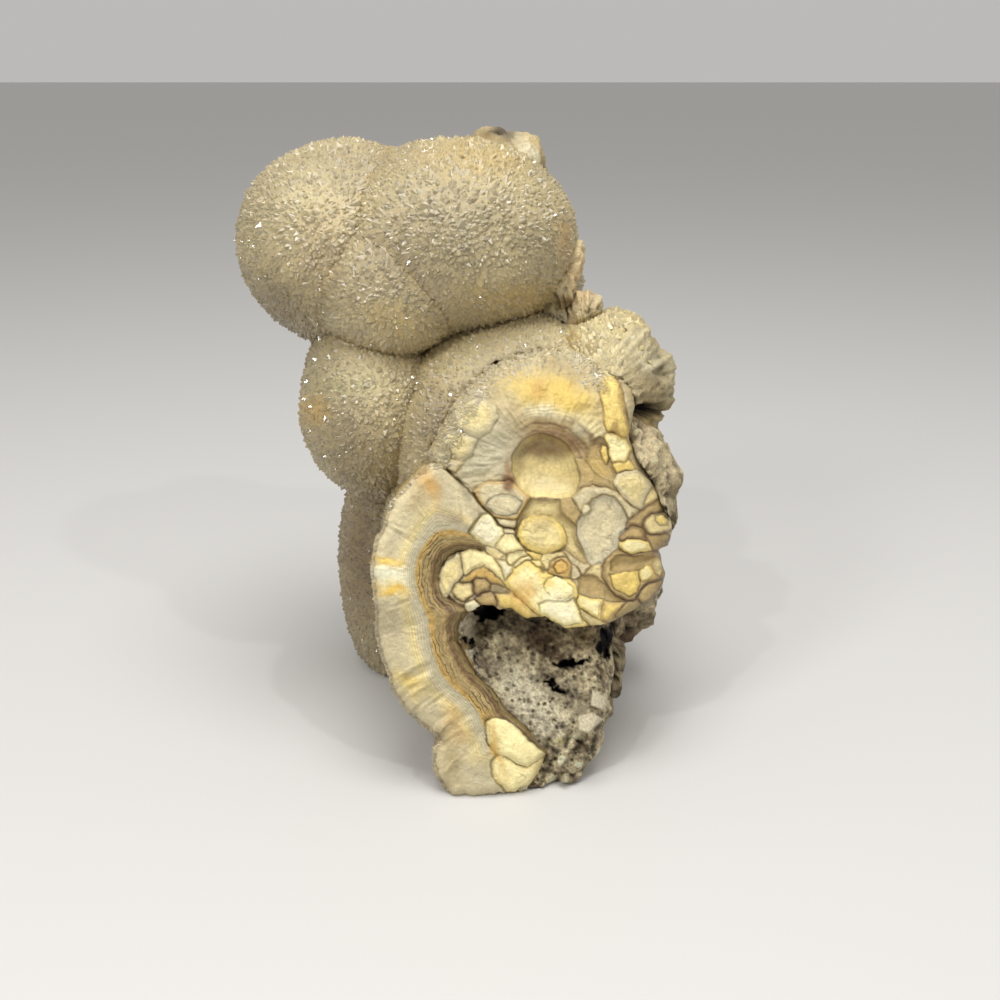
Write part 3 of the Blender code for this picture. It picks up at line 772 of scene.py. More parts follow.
def gap_to_others(points, own):
    """Distance to the nearest other lobe or lump, about in millimetres, and negative inside one."""
    gap = np.full(len(points), 1e3)
    for name, (centre, radii) in {**DRUZY_LOBES, **RIND_LOBES, **ROCK_LUMPS}.items():
        if name != own:
            gap = np.minimum(gap, from_lobe(points, centre, radii)[0])
    return gap


def from_lobe(points, centre, radii):
    """Distance outside a lobe, about in millimetres, and the direction away from it."""
    steep = (points - np.array(centre)) / np.array(radii) ** 2
    size = np.maximum(np.linalg.norm(steep, axis=1), 1e-6)
    share = np.sqrt(((points - np.array(centre)) * steep).sum(axis=1))
    return (share - 1) * share / size, steep / size[:, None]


def softened(points, own):
    """Points of a lobe, moved out where it runs into others of its group."""
    group = next((lobes for lobes in SOFT_GROUPS if own in lobes), (own,))
    away, directions = zip(*(from_lobe(points, *DRUZY_LOBES[name]) for name in group))
    away = np.stack(away)
    shares = np.exp(-(away - away.min(axis=0)) / SOFT_JOIN)
    direction = (shares[..., None] * np.stack(directions)).sum(axis=0)
    direction /= np.linalg.norm(direction, axis=1)[:, None]
    return points + direction * (SOFT_JOIN * np.log(shares.sum(axis=0)))[:, None]


def patched(points, outward, colour, patches):
    """Adds the patches where a surface faces the camera."""
    px, py = pixel_of(points)
    facing = smoothstep(0.6, 0.25, outward[:, 1])
    return mixed(colour, add_patches(px, py, colour, patches), facing)


def before_front(points):
    """True where a crystal would come through the broken face or stand in its hollow."""
    px, py = pixel_of(points)
    deep = depth_inside(px, py, FACE)
    margin = 3.0 + 8.0 * smoothstep(4, 16, deep)
    through = (deep > 0) & (points[:, 1] < front_depth(px, py) + margin)
    return through | (inside(px, py, HOLLOW_ROCK) & (points[:, 1] < front_depth(px, py) + 22))


def behind_front(points, margin):
    """The points, moved back to the margin where they would come through the broken face or its rock."""
    px, py = pixel_of(points)
    hidden = inside(px, py, FACE) | inside(px, py, HOLLOW_ROCK)
    behind = np.where(inside(px, py, HOLLOW_ROCK), hollow_recess(px, py) + BEHIND_HOLLOW, margin)
    least = front_depth(px, py) + behind
    points[:, 1] = np.where(hidden, np.maximum(points[:, 1], least), points[:, 1])
    return points


# Crystals


def ball_directions(count, rng):
    """Directions spread evenly over a ball, each shifted a little."""
    i = np.arange(count) + 0.5
    height = 1 - 2 * i / count
    ring = np.sqrt(1 - height**2)
    turn = math.pi * (3 - math.sqrt(5)) * i
    unit = np.stack([ring * np.cos(turn), ring * np.sin(turn), height], axis=1)
    unit += rng.normal(0, 0.42 * math.sqrt(4 * math.pi / count), unit.shape)
    return unit / np.linalg.norm(unit, axis=1)[:, None]


def area_of(radii):
    power = 1.6075
    a, b, c = (r**power for r in radii)
    return 4 * math.pi * ((a * b + a * c + b * c) / 3) ** (1 / power)


def druzy_tint(places, outward, gap):
    """Beige-grey quartz, warmer where lobes meet, with the photograph's patches."""
    broad = smoothstep(-0.6, 0.6, layered_noise(places, 34.0, 301))
    colour = mixed(linear(DRUZY_GREY), linear(DRUZY_BEIGE), broad)
    seam = np.exp(-np.clip(gap, 0, 40) / 4.0)
    colour = mixed(colour, linear(DRUZY_SEAM), 0.4 * seam)
    # Among the patches are painted shade on the lower left lobes and painted light under the upper right lobe.
    return patched(places, outward, colour, DRUZY_PATCHES)


def shoulder_seats(rng):
    """Seats of small crystals on the shoulder, fewer to the right."""
    centre, radii = RIND_LOBES["shoulder"]
    unit = ball_directions(int(area_of(radii) / SHOULDER_PITCH**2), rng)
    places, outward = on_lobe(unit, centre, radii, RIND_ROUGH)
    px, py = pixel_of(places)
    share = smoothstep(658, 612, px) * smoothstep(392, 355, py)
    kept = (gap_to_others(places, "shoulder") > -0.6) & (rng.uniform(0, 1, len(px)) < share)
    kept &= ~before_front(places)
    places, outward, share = places[kept], outward[kept], share[kept]
    size = (0.55 + 0.5 * share) * np.exp(rng.normal(0, 0.2, len(places)))
    colour = mixed(linear(CREAM), linear(DRUZY_BEIGE), 0.5 + 0.5 * layered_noise(places, 8.0, 303))
    return places, outward, size, colour


def crystal_seats(lobe, rng):
    """Places, directions, radii and colours for the crystals of one lobe."""
    centre, radii = DRUZY_LOBES[lobe]
    pitch = BACK_PITCH if lobe.startswith("back") else CRYSTAL_PITCH
    unit = ball_directions(int(area_of(radii) / pitch**2), rng)
    places, outward = on_lobe(unit, centre, radii)
    gap = gap_to_others(places, lobe)
    places = softened(places, lobe)
    kept = (gap > -1.2) & (places[:, 2] > 0.8) & ~before_front(places)
    places, outward, gap = places[kept], outward[kept], gap[kept]
    size = CRYSTAL_RADIUS * pitch / CRYSTAL_PITCH * np.exp(np.clip(rng.normal(0, 0.32, len(places)), -0.6, 0.6))
    size *= 1 + 0.2 * soft_noise(places, 14.0, 3)
    px, py = pixel_of(places)
    near_face = to_line(px, py, TOP_EDGE, False)[0]
    size *= 1 - 0.25 * smoothstep(45, 5, near_face) * (outward[:, 1] < 0.3)
    return places, outward, size, druzy_tint(places, outward, gap)


def rim_seats(rng):
    """Seats along the outer edge of the broken face, from its front backwards."""
    line = np.array(TOP_EDGE[4:] + CRESCENT_EDGE, float)
    lengths = np.linalg.norm(np.diff(line, axis=0), axis=1)
    segment = rng.choice(len(lengths), RIM_CRYSTALS, p=lengths / lengths.sum())
    step = np.diff(line, axis=0)[segment]
    across = np.stack([step[:, 1], -step[:, 0]], axis=1) / lengths[segment][:, None]
    spot = line[segment] + step * rng.uniform(0, 1, (RIM_CRYSTALS, 1))
    middle = spot + across * 5
    inner = inside(middle[:, 0], middle[:, 1], FACE)
    across = np.where(inner[:, None], -across, across)
    within = spot - across * 6
    front, colour = face_look(within[:, 0], within[:, 1])[:2]
    back = RIM_DEPTH * rng.uniform(0, 1, RIM_CRYSTALS) ** 1.3
    places = at_depth(spot[:, 0], spot[:, 1], front + 2.0 + back)
    outward = np.stack([across[:, 0], -0.75 * np.exp(-back / 2.5), -across[:, 1]], axis=1)
    outward /= np.linalg.norm(outward, axis=1)[:, None]
    size = RIM_RADIUS * np.exp(rng.normal(0, 0.25, RIM_CRYSTALS))
    colour = mixed(colour, linear(DRUZY_SEAM), 0.35 + 0.4 * back / RIM_DEPTH)
    kept = places[:, 2] > 0.8
    return places[kept], outward[kept], size[kept], colour[kept]


def upper_seats(rng):
    """Seats of ever smaller crystals over the upper part of the broken face."""
    px = rng.uniform(430, 632, UPPER_CRYSTALS * 6)
    py = rng.uniform(350, 470, UPPER_CRYSTALS * 6)
    reach = to_line(px, py, TOP_EDGE, False)[0] / UPPER_REACH_PX
    kept = inside(px, py, FACE) & (reach < rng.uniform(0.3, 1, len(px)))
    px, py, reach = px[kept][:UPPER_CRYSTALS], py[kept][:UPPER_CRYSTALS], reach[kept][:UPPER_CRYSTALS]
    depth, colour = face_look(px, py)[:2]
    outward = np.stack([(px - 546) / 90, np.full(len(px), -0.9), (470 - py) / 110], axis=1)
    outward /= np.linalg.norm(outward, axis=1)[:, None]
    size = (0.95 - 0.45 * reach) * np.exp(rng.normal(0, 0.2, len(px)))
    return at_depth(px, py, depth + 0.2), outward, size, mixed(colour, linear(DRUZY_BEIGE), 0.7 - 0.5 * reach)


def crystals(name, seats, rng):
    """Six-sided quartz points in one mesh, each with its own lean and shade."""
    places, outward, size, colour = (np.concatenate(part) for part in zip(*seats))
    count = len(places)
    axis = outward + np.clip(rng.normal(0, CRYSTAL_LEAN, (count, 3)), -0.4, 0.4)
    axis /= np.linalg.norm(axis, axis=1)[:, None]
    upright = (axis * outward).sum(axis=1) / np.linalg.norm(outward, axis=1)
    lean = np.sqrt(1 / np.clip(upright, 0.75, 1) ** 2 - 1)
    sunk = size * (CRYSTAL_SUNK + 0.8 * CRYSTAL_FOOT * lean)
    side = np.cross(axis, rng.normal(0, 1, (count, 3)))
    side /= np.linalg.norm(side, axis=1)[:, None]
    other = np.cross(axis, side)
    corners = []
    for k in range(6):
        angle = math.tau * k / 6
        reach = size * (CRYSTAL_FOOT + (0.25 if k % 2 else -0.15) + rng.uniform(-0.15, 0.15, count))
        across = side * (math.cos(angle) * reach)[:, None] + other * (math.sin(angle) * reach)[:, None]
        corners.append(places + across - axis * sunk[:, None])
    shift = side * rng.uniform(-0.3, 0.3, (count, 1)) + other * rng.uniform(-0.3, 0.3, (count, 1))
    height = size * rng.uniform(*CRYSTAL_TIP, count)
    points = np.stack(corners + [places + axis * height[:, None] + shift * size[:, None]], axis=1)
    pattern = np.array([(k, (k + 1) % 6, 6) for k in range(6)])
    faces = (np.arange(count)[:, None, None] * 7 + pattern[None]).reshape(-1, 3)
    obj = mesh_object(name, above_floor(points.reshape(-1, 3)), faces, False)
    add_tint(obj, np.repeat(colour * rng.uniform(0.8, 1.08, (count, 1)), 7, axis=0))
    glossy = rng.uniform(0, 1, count) < GLOSSY_SHARE
    add_number(obj, "gloss", np.repeat(np.where(glossy, 1.0, DULL_COAT), 7))
    growth = obj.data.attributes.new("growth", "FLOAT_VECTOR", "POINT")
    growth.data.foreach_set("vector", np.repeat(outward, 7, axis=0).astype(np.float32).ravel())
    return obj


# Rounded masses


def joined(name, pieces):
    """One object from several (points, faces, colours)."""
    points, faces, colours = zip(*pieces)
    starts = np.cumsum([0] + [len(some) for some in points[:-1]])
    faces = [some + start for some, start in zip(faces, starts)]
    obj = mesh_object(name, np.concatenate(points), np.concatenate(faces), True)
    add_tint(obj, np.clip(np.concatenate(colours), 0, 1))
    return obj


def above_floor(points):
    points[:, 2] = np.maximum(points[:, 2], 0.0)
    return points


def lobe_ground(name):
    """The quartz under the crystals."""
    unit, faces = unit_ball(LOBE_DETAIL)
    pieces = []
    for lobe, (centre, radii) in DRUZY_LOBES.items():
        points, outward = on_lobe(unit, centre, radii)
        gap = gap_to_others(points, lobe)
        points = softened(points, lobe)
        points = points + outward * (0.2 * soft_noise(points, 3.0, 8) - 0.1)[:, None]
        colour = druzy_tint(points, outward, gap)
        pieces.append((above_floor(behind_front(points, 9.5)), faces, colour))
    return joined(name, pieces)


def holes(px, py):
    """How deep the rock's holes are at these pixels."""
    deep = np.zeros_like(px)
    wx, wy = warped(px, py, 6.0, 4.5, 221)
    for (cx, cy), (rx, ry), turn, depth in ROCK_HOLES:
        c, s = math.cos(math.radians(turn)), math.sin(math.radians(turn))
        u = ((wx - cx) * c + (wy - cy) * s) / rx
        v = ((wy - cy) * c - (wx - cx) * s) / ry
        deep = np.maximum(deep, depth * smoothstep(1.25, 0.7, np.hypot(u, v)))
    return deep


def rind(name):
    """Weathered quartz skin: lumps, ridges and streaks that fan out from the broken face."""
    unit, faces = unit_ball(RIND_DETAIL)
    pieces = []
    for centre, radii in RIND_LOBES.values():
        points, outward = on_lobe(unit, centre, radii, RIND_ROUGH)
        px, py = pixel_of(points)
        fan = np.stack([np.arctan2(py - 400, px - 588) * 26, np.hypot(px - 588, py - 400) / 26, 0 * px], axis=-1)
        streaks = layered_noise(fan, 1.0, 21)
        pits = smoothstep(0.42, 0.12, cell_distance(points, 4.0, 5))
        lift = 1.6 * layered_noise(points, 6.0, 31) + 1.6 * streaks - 0.9 * pits
        facing = smoothstep(0.3, -0.2, outward[:, 1]) * (points[:, 1] < HOLES_REACH)
        lift -= facing * holes(px, py)
        colour = mixed(linear(TAN), linear(PALE), smoothstep(-0.5, 0.5, layered_noise(points, 12.0, 23)))
        colour = patched(points, outward, colour, RIND_PATCHES)
        colour = colour * (1 + 0.4 * streaks - 0.3 * pits)[:, None]
        # Painted shade: the holes are darkened towards near-black.
        colour = mixed(colour, linear(HOLE_SHADE_BLACK), np.clip(facing * holes(px, py) / 6, 0, 1))
        points = points + outward * lift[:, None]
        pieces.append((above_floor(behind_front(points, 9.5)), faces, colour))
    return joined(name, pieces)


def rock_colour(points, px, py, outward):
    """Speckled grey-brown rock."""
    grain = layered_noise(points, 1.6, 331)
    lumps = layered_noise(points, 7.0, 333)
    pale = smoothstep(-0.55, 0.4, 0.6 * grain + 0.8 * lumps)
    colour = mixed(linear(ROCK_DARK), linear(ROCK_PALE), pale)
    # The rock patches hold painted shadow under the hollow's lip and painted light on the rock's right side.
    tinted = add_patches(px, py, colour, ROCK_PATCHES)
    tinted = tinted * (1 + 0.35 * grain)[:, None]
    return mixed(colour, tinted, smoothstep(0.6, 0.25, outward[:, 1]))


def rock(name):
    """Porous rock: lumps at three scales, open pits, and ridges on its back part."""
    pieces = []
    for lump, (centre, radii) in ROCK_LUMPS.items():
        unit, faces = unit_ball(ROCK_DETAIL - 1)
        points, outward = on_lobe(unit, centre, radii, ROCK_ROUGH)
        px, py = pixel_of(points)
        pits = smoothstep(0.46, 0.16, cell_distance(points, 4.2, 41))
        small_pits = smoothstep(0.5, 0.2, cell_distance(points, 1.9, 51))
        lift = 1.6 * layered_noise(points, 7.0, 61) - 1.8 * pits - 0.9 * small_pits
        ridges = layered_noise(points * (1, 1, 0.12), 5.0, 63) * (lump == "rock_back")
        lift += 2.2 * ridges
        colour = rock_colour(points, px, py, outward)
        colour = colour * (1 + 0.5 * ridges - 0.5 * pits - 0.4 * small_pits)[:, None]
        facing = smoothstep(0.3, -0.2, outward[:, 1])
        lift -= facing * holes(px, py)
        # Painted shade: the holes are darkened towards near-black.
        colour = mixed(colour, linear(HOLE_SHADE_BLACK), np.clip(facing * holes(px, py) / 5, 0, 1))
        points = points + outward * lift[:, None]
        pieces.append((above_floor(behind_front(points, 9.5)), faces, colour))
    return joined(name, pieces)


def hollow_recess(px, py):
    """How far the rock in the hollow lies behind the plane of the broken face."""
    from_edge = to_line(px, py, CAVITY_EDGE, False)[0]
    deep = 3.5 + 11.0 * smoothstep(712, 630, py) * smoothstep(0, 16, from_edge)
    return deep + 7.0 * (np.clip(px - 588, 0, 40) / 26) ** 2


def hollow_rock(name):
    """The rock that shows in the hollow under the broken face and at the lower right."""
    outline = jagged(HOLLOW_ROCK + HOLLOW_ROCK[:1], 3.0, 2.2, 8.0, 211)[:-1]
    grid = pixel_grid(outline, ROCK_STEP)
    px, py = grid[0], grid[1]
    place = flat(px, py)
    rough = 2.2 * layered_noise(place, 20.0, 341) + 1.2 * layered_noise(place, 7.0, 343)
    pits = smoothstep(0.4, 0.12, cell_distance(place, 7.0, 345))
    small_pits = smoothstep(0.5, 0.2, cell_distance(place, 3.2, 347))
    folds = np.sin((px * 0.9 + py * 0.45) / 2.4 + 2.2 * layered_noise(place, 14.0, 349))
    folded = smoothstep(728, 742, py) * smoothstep(530, 545, px)
    deep = np.maximum(depth_inside(px, py, outline), 0)
    t = 1 - np.clip(deep / EDGE_ROUND_PX, 0, 1)
    rolled = 5.0 * (1 - np.sqrt(1 - np.minimum(t, 0.995) ** 2)) * ((px > 545) & (py > 640))
    relief = rough - 1.1 * pits - 0.6 * small_pits + 0.8 * folds * folded - holes(px, py)
    blocks = np.max([smoothstep(-0.3, 1.2, depth_inside(px, py, block)) for block in ROCK_BLOCKS], axis=0)
    relief = mixed(relief[:, None], (2.2 + 0.09 * (py - px - 110))[:, None], blocks)[:, 0]
    depth = leaning_depth(px, py, FACE_FORWARD) + hollow_recess(px, py) + rolled - relief
    points = at_depth(px, py, depth)
    forward = np.tile((0.0, -1.0, 0.0), (len(px), 1))
    colour = rock_colour(points, px, py, forward)
    colour = colour * (1 - 0.4 * pits - 0.25 * small_pits + 0.3 * folds * folded)[:, None]
    colour = mixed(colour, linear(BLOCK_WHITE), 0.9 * blocks)
    # Painted shade: the holes are darkened towards near-black.
    colour = mixed(colour, linear(HOLE_SHADE_BLACK), np.clip(holes(px, py) / 4, 0, 1))
    return sheet(name, grid, depth, colour, ROCK_BACK, 1.5)


# The broken face


def enlarged(outline):
    """Pixels of the photograph from points read off its enlargement."""
    return [(ENLARGED_FROM[0] + x / ENLARGED, ENLARGED_FROM[1] + y / ENLARGED) for x, y in outline]


def jagged(line, step, amount, length, seed):
    """The line in short steps, each moved a little across it."""
    points = [np.array(p, float) for p in line]
    result = []
    for a, b in zip(points, points[1:]):
        count = max(1, round(np.linalg.norm(b - a) / step))
        across = np.array([b[1] - a[1], a[0] - b[0]]) / np.linalg.norm(b - a)
        for i in range(count):
            place = a + (b - a) * i / count
            shift = amount * layered_noise(np.array([*place, 0.0]), length, seed)
            result.append(tuple(place + across * shift))
    result.append(tuple(points[-1]))
    return result


def face_outline():
    """The outline with its broken, crystalline edge."""
    rough = jagged(CRESCENT_EDGE, 2.2, 2.4, 5.0, 201)
    low = jagged([CRESCENT_EDGE[-1]] + FOOT_RIGHT + CAVITY_EDGE + LIP + RIGHT_EDGE, 3.0, 1.1, 7.0, 203)
    top = jagged([RIGHT_EDGE[-1]] + TOP_EDGE + [CRESCENT_EDGE[0]], 3.0, 2.4, 8.0, 205)
    return rough[:-1] + low[:-1] + top[:-1]


FACE = face_outline()


def crescent_outline():
    return CRESCENT_EDGE + FOOT_RIGHT + CAVITY_EDGE + ARCH_TOP[::-1] + ARM_END[::-1] + CRACK[::-1]


def warped(px, py, amount, length, seed):
    """Pixels moved a little by noise, so that an outline isn't drawn with a ruler."""
    place = flat(px, py)
    return (px + amount * layered_noise(place, length, seed),
            py + amount * layered_noise(place, length, seed + 5))


def add_patches(px, py, colour, patches):
    wx, wy = warped(px, py, 8.0, 16.0, 121)
    for (cx, cy), (rx, ry), turn, tone, strength in patches:
        c, s = math.cos(math.radians(turn)), math.sin(math.radians(turn))
        u = ((wx - cx) * c + (wy - cy) * s) / rx
        v = ((wy - cy) * c - (wx - cx) * s) / ry
        colour = mixed(colour, linear(tone), strength * np.exp(-((u**2 + v**2) ** 1.3)))
    return colour


def crescent_look(px, py):
    """Relief in millimetres and colour of the banded crescent."""
    place = flat(px, py)
    outer = to_line(px, py, CRACK[::-1] + CRESCENT_EDGE, False)[0]
    inner, _, _, along = to_line(px, py, ARCH_TOP + CAVITY_EDGE[::-1] + FOOT_RIGHT[::-1], False)
    across = outer / (outer + inner + 1e-6)
    wavy = across + 0.03 * layered_noise(place, 22.0, 71)
    stops = [stop for stop, _ in CRESCENT_BANDS]
    bands = np.array([linear(colour) for _, colour in CRESCENT_BANDS])
    colour = np.stack([np.interp(wavy, stops, bands[:, i]) for i in range(3)], axis=-1)
    milky = smoothstep(0.62, 0.4, across)
    patched = add_patches(px, py, colour, CRESCENT_PATCHES)
    colour = mixed(colour, patched, np.maximum(milky, smoothstep(735, 750, py)))
    fibres = layered_noise(np.stack([along / 3.0, across * 5, np.zeros_like(px)], axis=-1), 1.0, 81)
    coarse = layered_noise(np.stack([along / 11.0, across * 2, np.zeros_like(px)], axis=-1), 1.0, 83)
    colour = colour * (1 + milky * (0.26 * fibres + 0.26 * coarse))[..., None]
    pale = smoothstep(0.34, 0.44, across) * smoothstep(0.7, 0.6, across)
    brown = smoothstep(0.58, 0.66, across) * smoothstep(770, 740, py)
    crinkled = across + 0.06 * layered_noise(place, 15.0, 85) + 0.02 * layered_noise(place, 5.0, 87)
    ring = np.where(brown > pale, math.tau * BROWN_LINES * crinkled, math.tau * PALE_LINES * wavy)
    strong = np.clip(0.7 + 0.6 * soft_noise(place, 14.0, 89), 0.1, 1)
    strength = np.maximum(0.85 * brown * strong, 0.2 * pale)
    relief = 2.6 + 0.5 * np.sin(math.pi * np.clip(across, 0, 1)) + 0.4 * fibres * milky
    relief += 0.6 * coarse * milky + 0.5 * brown * layered_noise(place, 6.0, 91)
    relief -= 2.0 * smoothstep(0.7, 1.0, across) + 3.0 * smoothstep(0.9, 1.05, across)
    return relief, colour, ring, strength


def disc_look(px, py):
    """Relief and colour of the ground between the cells."""
    place = flat(px, py)
    colour = mixed(linear(TAN), linear(PALE), 0.6 + 0.5 * layered_noise(place, 22.0, 101))
    away = np.hypot(px - 546, (py - 467) * 1.02) + 2.5 * layered_noise(place, 14.0, 103)
    upper = smoothstep(478, 450, py) * smoothstep(500, 512, px) * smoothstep(604, 590, px)
    colour = mixed(colour, linear(TAN), upper * smoothstep(62, 40, away))
    for radius, width, strength in ((37, 1.4, 0.85), (41, 1.2, 0.6), (45, 1.8, 0.85), (51, 1.2, 0.4)):
        colour = mixed(colour, linear(BROWN), strength * upper * np.exp(-(((away - radius) / width) ** 2)))
    agate = np.exp(-(((away - 61) / 9) ** 2)) * smoothstep(34, 14, np.abs(px - 549)) * (py < 445)
    banded = mixed(linear(GREY_BLUE), linear(WHITE), 0.5 + 0.5 * np.sin(away * 1.9))
    colour = mixed(colour, banded, 0.85 * agate)
    streaks = layered_noise(np.stack([np.arctan2(py - 467, px - 546) * 22, away / 16, 0 * px], axis=-1),
                            1.0, 105)
    fanned = smoothstep(44, 52, away) * smoothstep(520, 495, py)
    colour = colour * (1 + 0.16 * streaks * fanned)[..., None]
    relief = 1.0 * layered_noise(place, 16.0, 111) + 0.5 * streaks * fanned
    relief -= 0.5 * upper * np.exp(-(((away - 43) / 6) ** 2))
    return relief, colour


def add_cells(px, py, look, cells, fill):
    """Lays cells side by side over the ground, each with growth rings and dark lines where they meet."""
    relief, colour, ring, strength = look
    place = flat(px, py)
    wx, wy = warped(px, py, 1.5, 8.0, 131)
    outlines, heights, widths, middles, edges = zip(*cells.values())
    depths = np.stack([depth_inside(wx, wy, enlarged(outline)) for outline in outlines])
    owner = depths.argmax(axis=0)
    best, second = np.sort(depths, axis=0)[[-1, -2]]
    border = np.minimum((best - second) / 2, best + fill)
    own_place = place + np.stack([owner * 97.0, owner * 31.0, owner * 0.0], axis=-1)
    height = np.array(heights)[owner]
    width = np.array(widths)[owner] * np.where(height > 0, CELL_ROUND, 1.0)
    t = np.clip(border / width, 0, 1)
    middle = np.array([linear(c) for c in middles])[owner]
    edge = np.array([linear(c) for c in edges])[owner]
    own_ring = border * 1.7 + 3.0 * soft_noise(own_place, 14.0, 140)
    own_strength = CELL_RINGS * np.clip(0.4 + layered_noise(own_place, 12.0, 145), 0, 1)
    tone = mixed(edge, middle, smoothstep(0.0, 0.9, t))
    tone = tone * (1 + 0.2 * layered_noise(own_place, 10.0, 150))[..., None]
    owned = smoothstep(-0.5, 0.5, best + fill)
    tone = mixed(colour, tone, np.full(len(px), TONE_SHARE))
    shape = np.where(height > 0, CELL_HEIGHT * height, height) * np.sqrt(1 - (1 - t) ** 2)
    relief = relief * (1 - owned) + (0.3 * relief + shape) * owned
    colour = mixed(colour, tone, owned)
    darkness = np.clip(0.65 + 0.75 * layered_noise(place, 13.0, 160), 0.05, 1)
    darkness *= 1 - SOFT_KNOBS * smoothstep(505, 490, px) * smoothstep(480, 462, py)
    lines = darkness * np.exp(-((border / LINE_WIDTH_PX) ** 2))
    echo = 0.5 * np.clip(soft_noise(own_place, 20.0, 165), 0, 1) * np.exp(-(((border - 2.6) / 0.6) ** 2))
    vein = np.exp(-((layered_noise(own_place, 15.0, 167) / VEIN_WIDTH) ** 2))
    vein *= 0.5 * np.clip(0.3 + soft_noise(own_place, 18.0, 168), 0, 1)
    lines = np.where(best > -fill - 2, np.maximum(np.maximum(lines, echo), vein), 0)
    ring = np.where(owned > 0.5, own_ring, ring)
    strength = np.where(owned > 0.5, own_strength, strength)
    return relief - LINE_DEEP * lines, mixed(colour, linear(DARK), LINE_DARK * lines), ring, strength


def front_depth(px, py):
    """The depth of the broken face without its relief."""
    deep = np.maximum(depth_inside(px, py, FACE), 0)
    t = 1 - np.clip(deep / EDGE_ROUND_PX, 0, 1)
    rolled = EDGE_ROUND * (1 - np.sqrt(1 - np.minimum(t, 0.995) ** 2))
    rolled *= np.where((py > 590) & (px > 462) & (py < 640), 0.35, 1.0)
    back = 10.0 * (np.clip(px - 605, 0, 80) / 65) ** 2 + 9.0 * (np.clip(430 - py, 0, 90) / 75) ** 2
    return leaning_depth(px, py, FACE_FORWARD) + rolled + back


def face_look(px, py):
    """Depth and colour of the broken face at these pixels, and the phase and strength of its fine lines."""
    place = flat(px, py)
    banded = smoothstep(-1.0, 1.0, depth_inside(*warped(px, py, 1.2, 10.0, 11), crescent_outline()))
    crescent_relief, crescent_colour, ring, strength = crescent_look(px, py)
    disc_relief, disc_colour = disc_look(px, py)
    # The face patches include painted shade at the tops of the two bowls.
    disc_colour = add_patches(px, py, disc_colour, FACE_PATCHES)
    relief = disc_relief * (1 - banded) + crescent_relief * banded
    colour = mixed(disc_colour, crescent_colour, banded) * GROUND_LIGHT
    look = (relief, colour, ring, strength * banded)
    look = add_cells(px, py, look, CELLS, GAP_FILL_PX)
    relief, colour, ring, strength = add_cells(px, py, look, INNER_CELLS, 0.0)
    # These patches bring painted shade to the tops of both bowls and a painted highlight to the upper bowl's
    # bottom.
    colour = add_patches(px, py, colour, CELL_PATCHES)
    colour = add_patches(px, py, colour, FACE_PATCHES[4:])
    # Painted shadow: the crack is sunk and also drawn as a dark line.
    crack = to_line(*warped(px, py, 1.5, 8.0, 131), CRACK, False)[0]
    cracked = np.exp(-((crack / 1.3) ** 2))
    relief = relief - 1.4 * cracked + 0.22 * layered_noise(place, 4.0, 171)
    colour = mixed(colour, linear(DARK), 0.8 * cracked)
    colour = colour * (1 + 0.09 * layered_noise(place, 3.0, 181))[..., None]
    return front_depth(px, py) - relief, np.clip(colour, 0, 1), ring, strength


def pixel_grid(outline, step):
    """Points in pixels within an outline, with the border drawn onto it, their squares and border edges."""
    x, y = zip(*outline)
    px, py = np.meshgrid(np.arange(min(x) - 3, max(x) + 3, step), np.arange(min(y) - 3, max(y) + 3, step))
    rows, columns = px.shape
    index = np.arange(rows * columns).reshape(rows, columns)
    squares = np.stack([index[:-1, :-1], index[1:, :-1], index[1:, 1:], index[:-1, 1:]], axis=-1)
    squares = squares[inside(px[:-1, :-1] + step / 2, py[:-1, :-1] + step / 2, outline)]
    used, squares = np.unique(squares, return_inverse=True)
    squares = squares.reshape(-1, 4)
    px, py = px.ravel()[used], py.ravel()[used]
    ends = np.concatenate([squares[:, [i, (i + 1) % 4]] for i in range(4)])
    _, first, times = np.unique(np.sort(ends, axis=1), axis=0, return_index=True, return_counts=True)
    border = ends[first[times == 1]]
    rim = np.unique(border)
    _, near_x, near_y, _ = to_line(px[rim], py[rim], outline, True)
    px[rim] = near_x
    py[rim] = near_y
    return px, py, squares, border


def sheet(name, grid, depth, colour, backs, rough):
    """A surface over a grid of pixels, with an edge that runs straight back in steps."""
    px, py, squares, border = grid
    points = [at_depth(px, py, depth)]
    colours = [colour]
    faces = [squares]
    rim = np.unique(border)
    place = np.full(len(px), -1)
    place[rim] = np.arange(len(rim))
    upper = rim
    start = len(px)
    for back, inward in backs:
        ring = points[0][rim] + np.array([0.0, back, 0.0])
        ring[:, 0] += inward * smoothstep(450, 425, px[rim])
        ring += rough * np.stack([layered_noise(ring, 5.0, 190 + k) for k in range(3)], axis=1)
        points.append(ring)
        colours.append(mixed(colour[rim], linear(TAN), np.full(len(rim), 0.4)))
        lower = start + np.arange(len(rim))
        a, b = place[border[:, 0]], place[border[:, 1]]
        faces.append(np.stack([upper[b], upper[a], lower[a], lower[b]], axis=1))
        upper = lower
        start += len(rim)
    obj = mesh_object(name, above_floor(np.concatenate(points)), np.concatenate(faces), True)
    add_tint(obj, np.clip(np.concatenate(colours), 0, 1))
    return obj


def broken_face(name):
    grid = pixel_grid(FACE, FACE_STEP)
    depth, colour, ring, strength = face_look(grid[0], grid[1])
    obj = sheet(name, grid, depth, colour, FACE_BACK, 1.0)
    for name, values in (("ring", ring), ("ring_strength", strength)):
        full = np.zeros(len(obj.data.vertices))
        full[:len(values)] = values
        add_number(obj, name, full)
    return obj


# Materials


def new_material(name):
    material = bpy.data.materials.new(name)
    material.use_nodes = True
    tree = material.node_tree
    return material, tree, tree.nodes["Principled BSDF"]


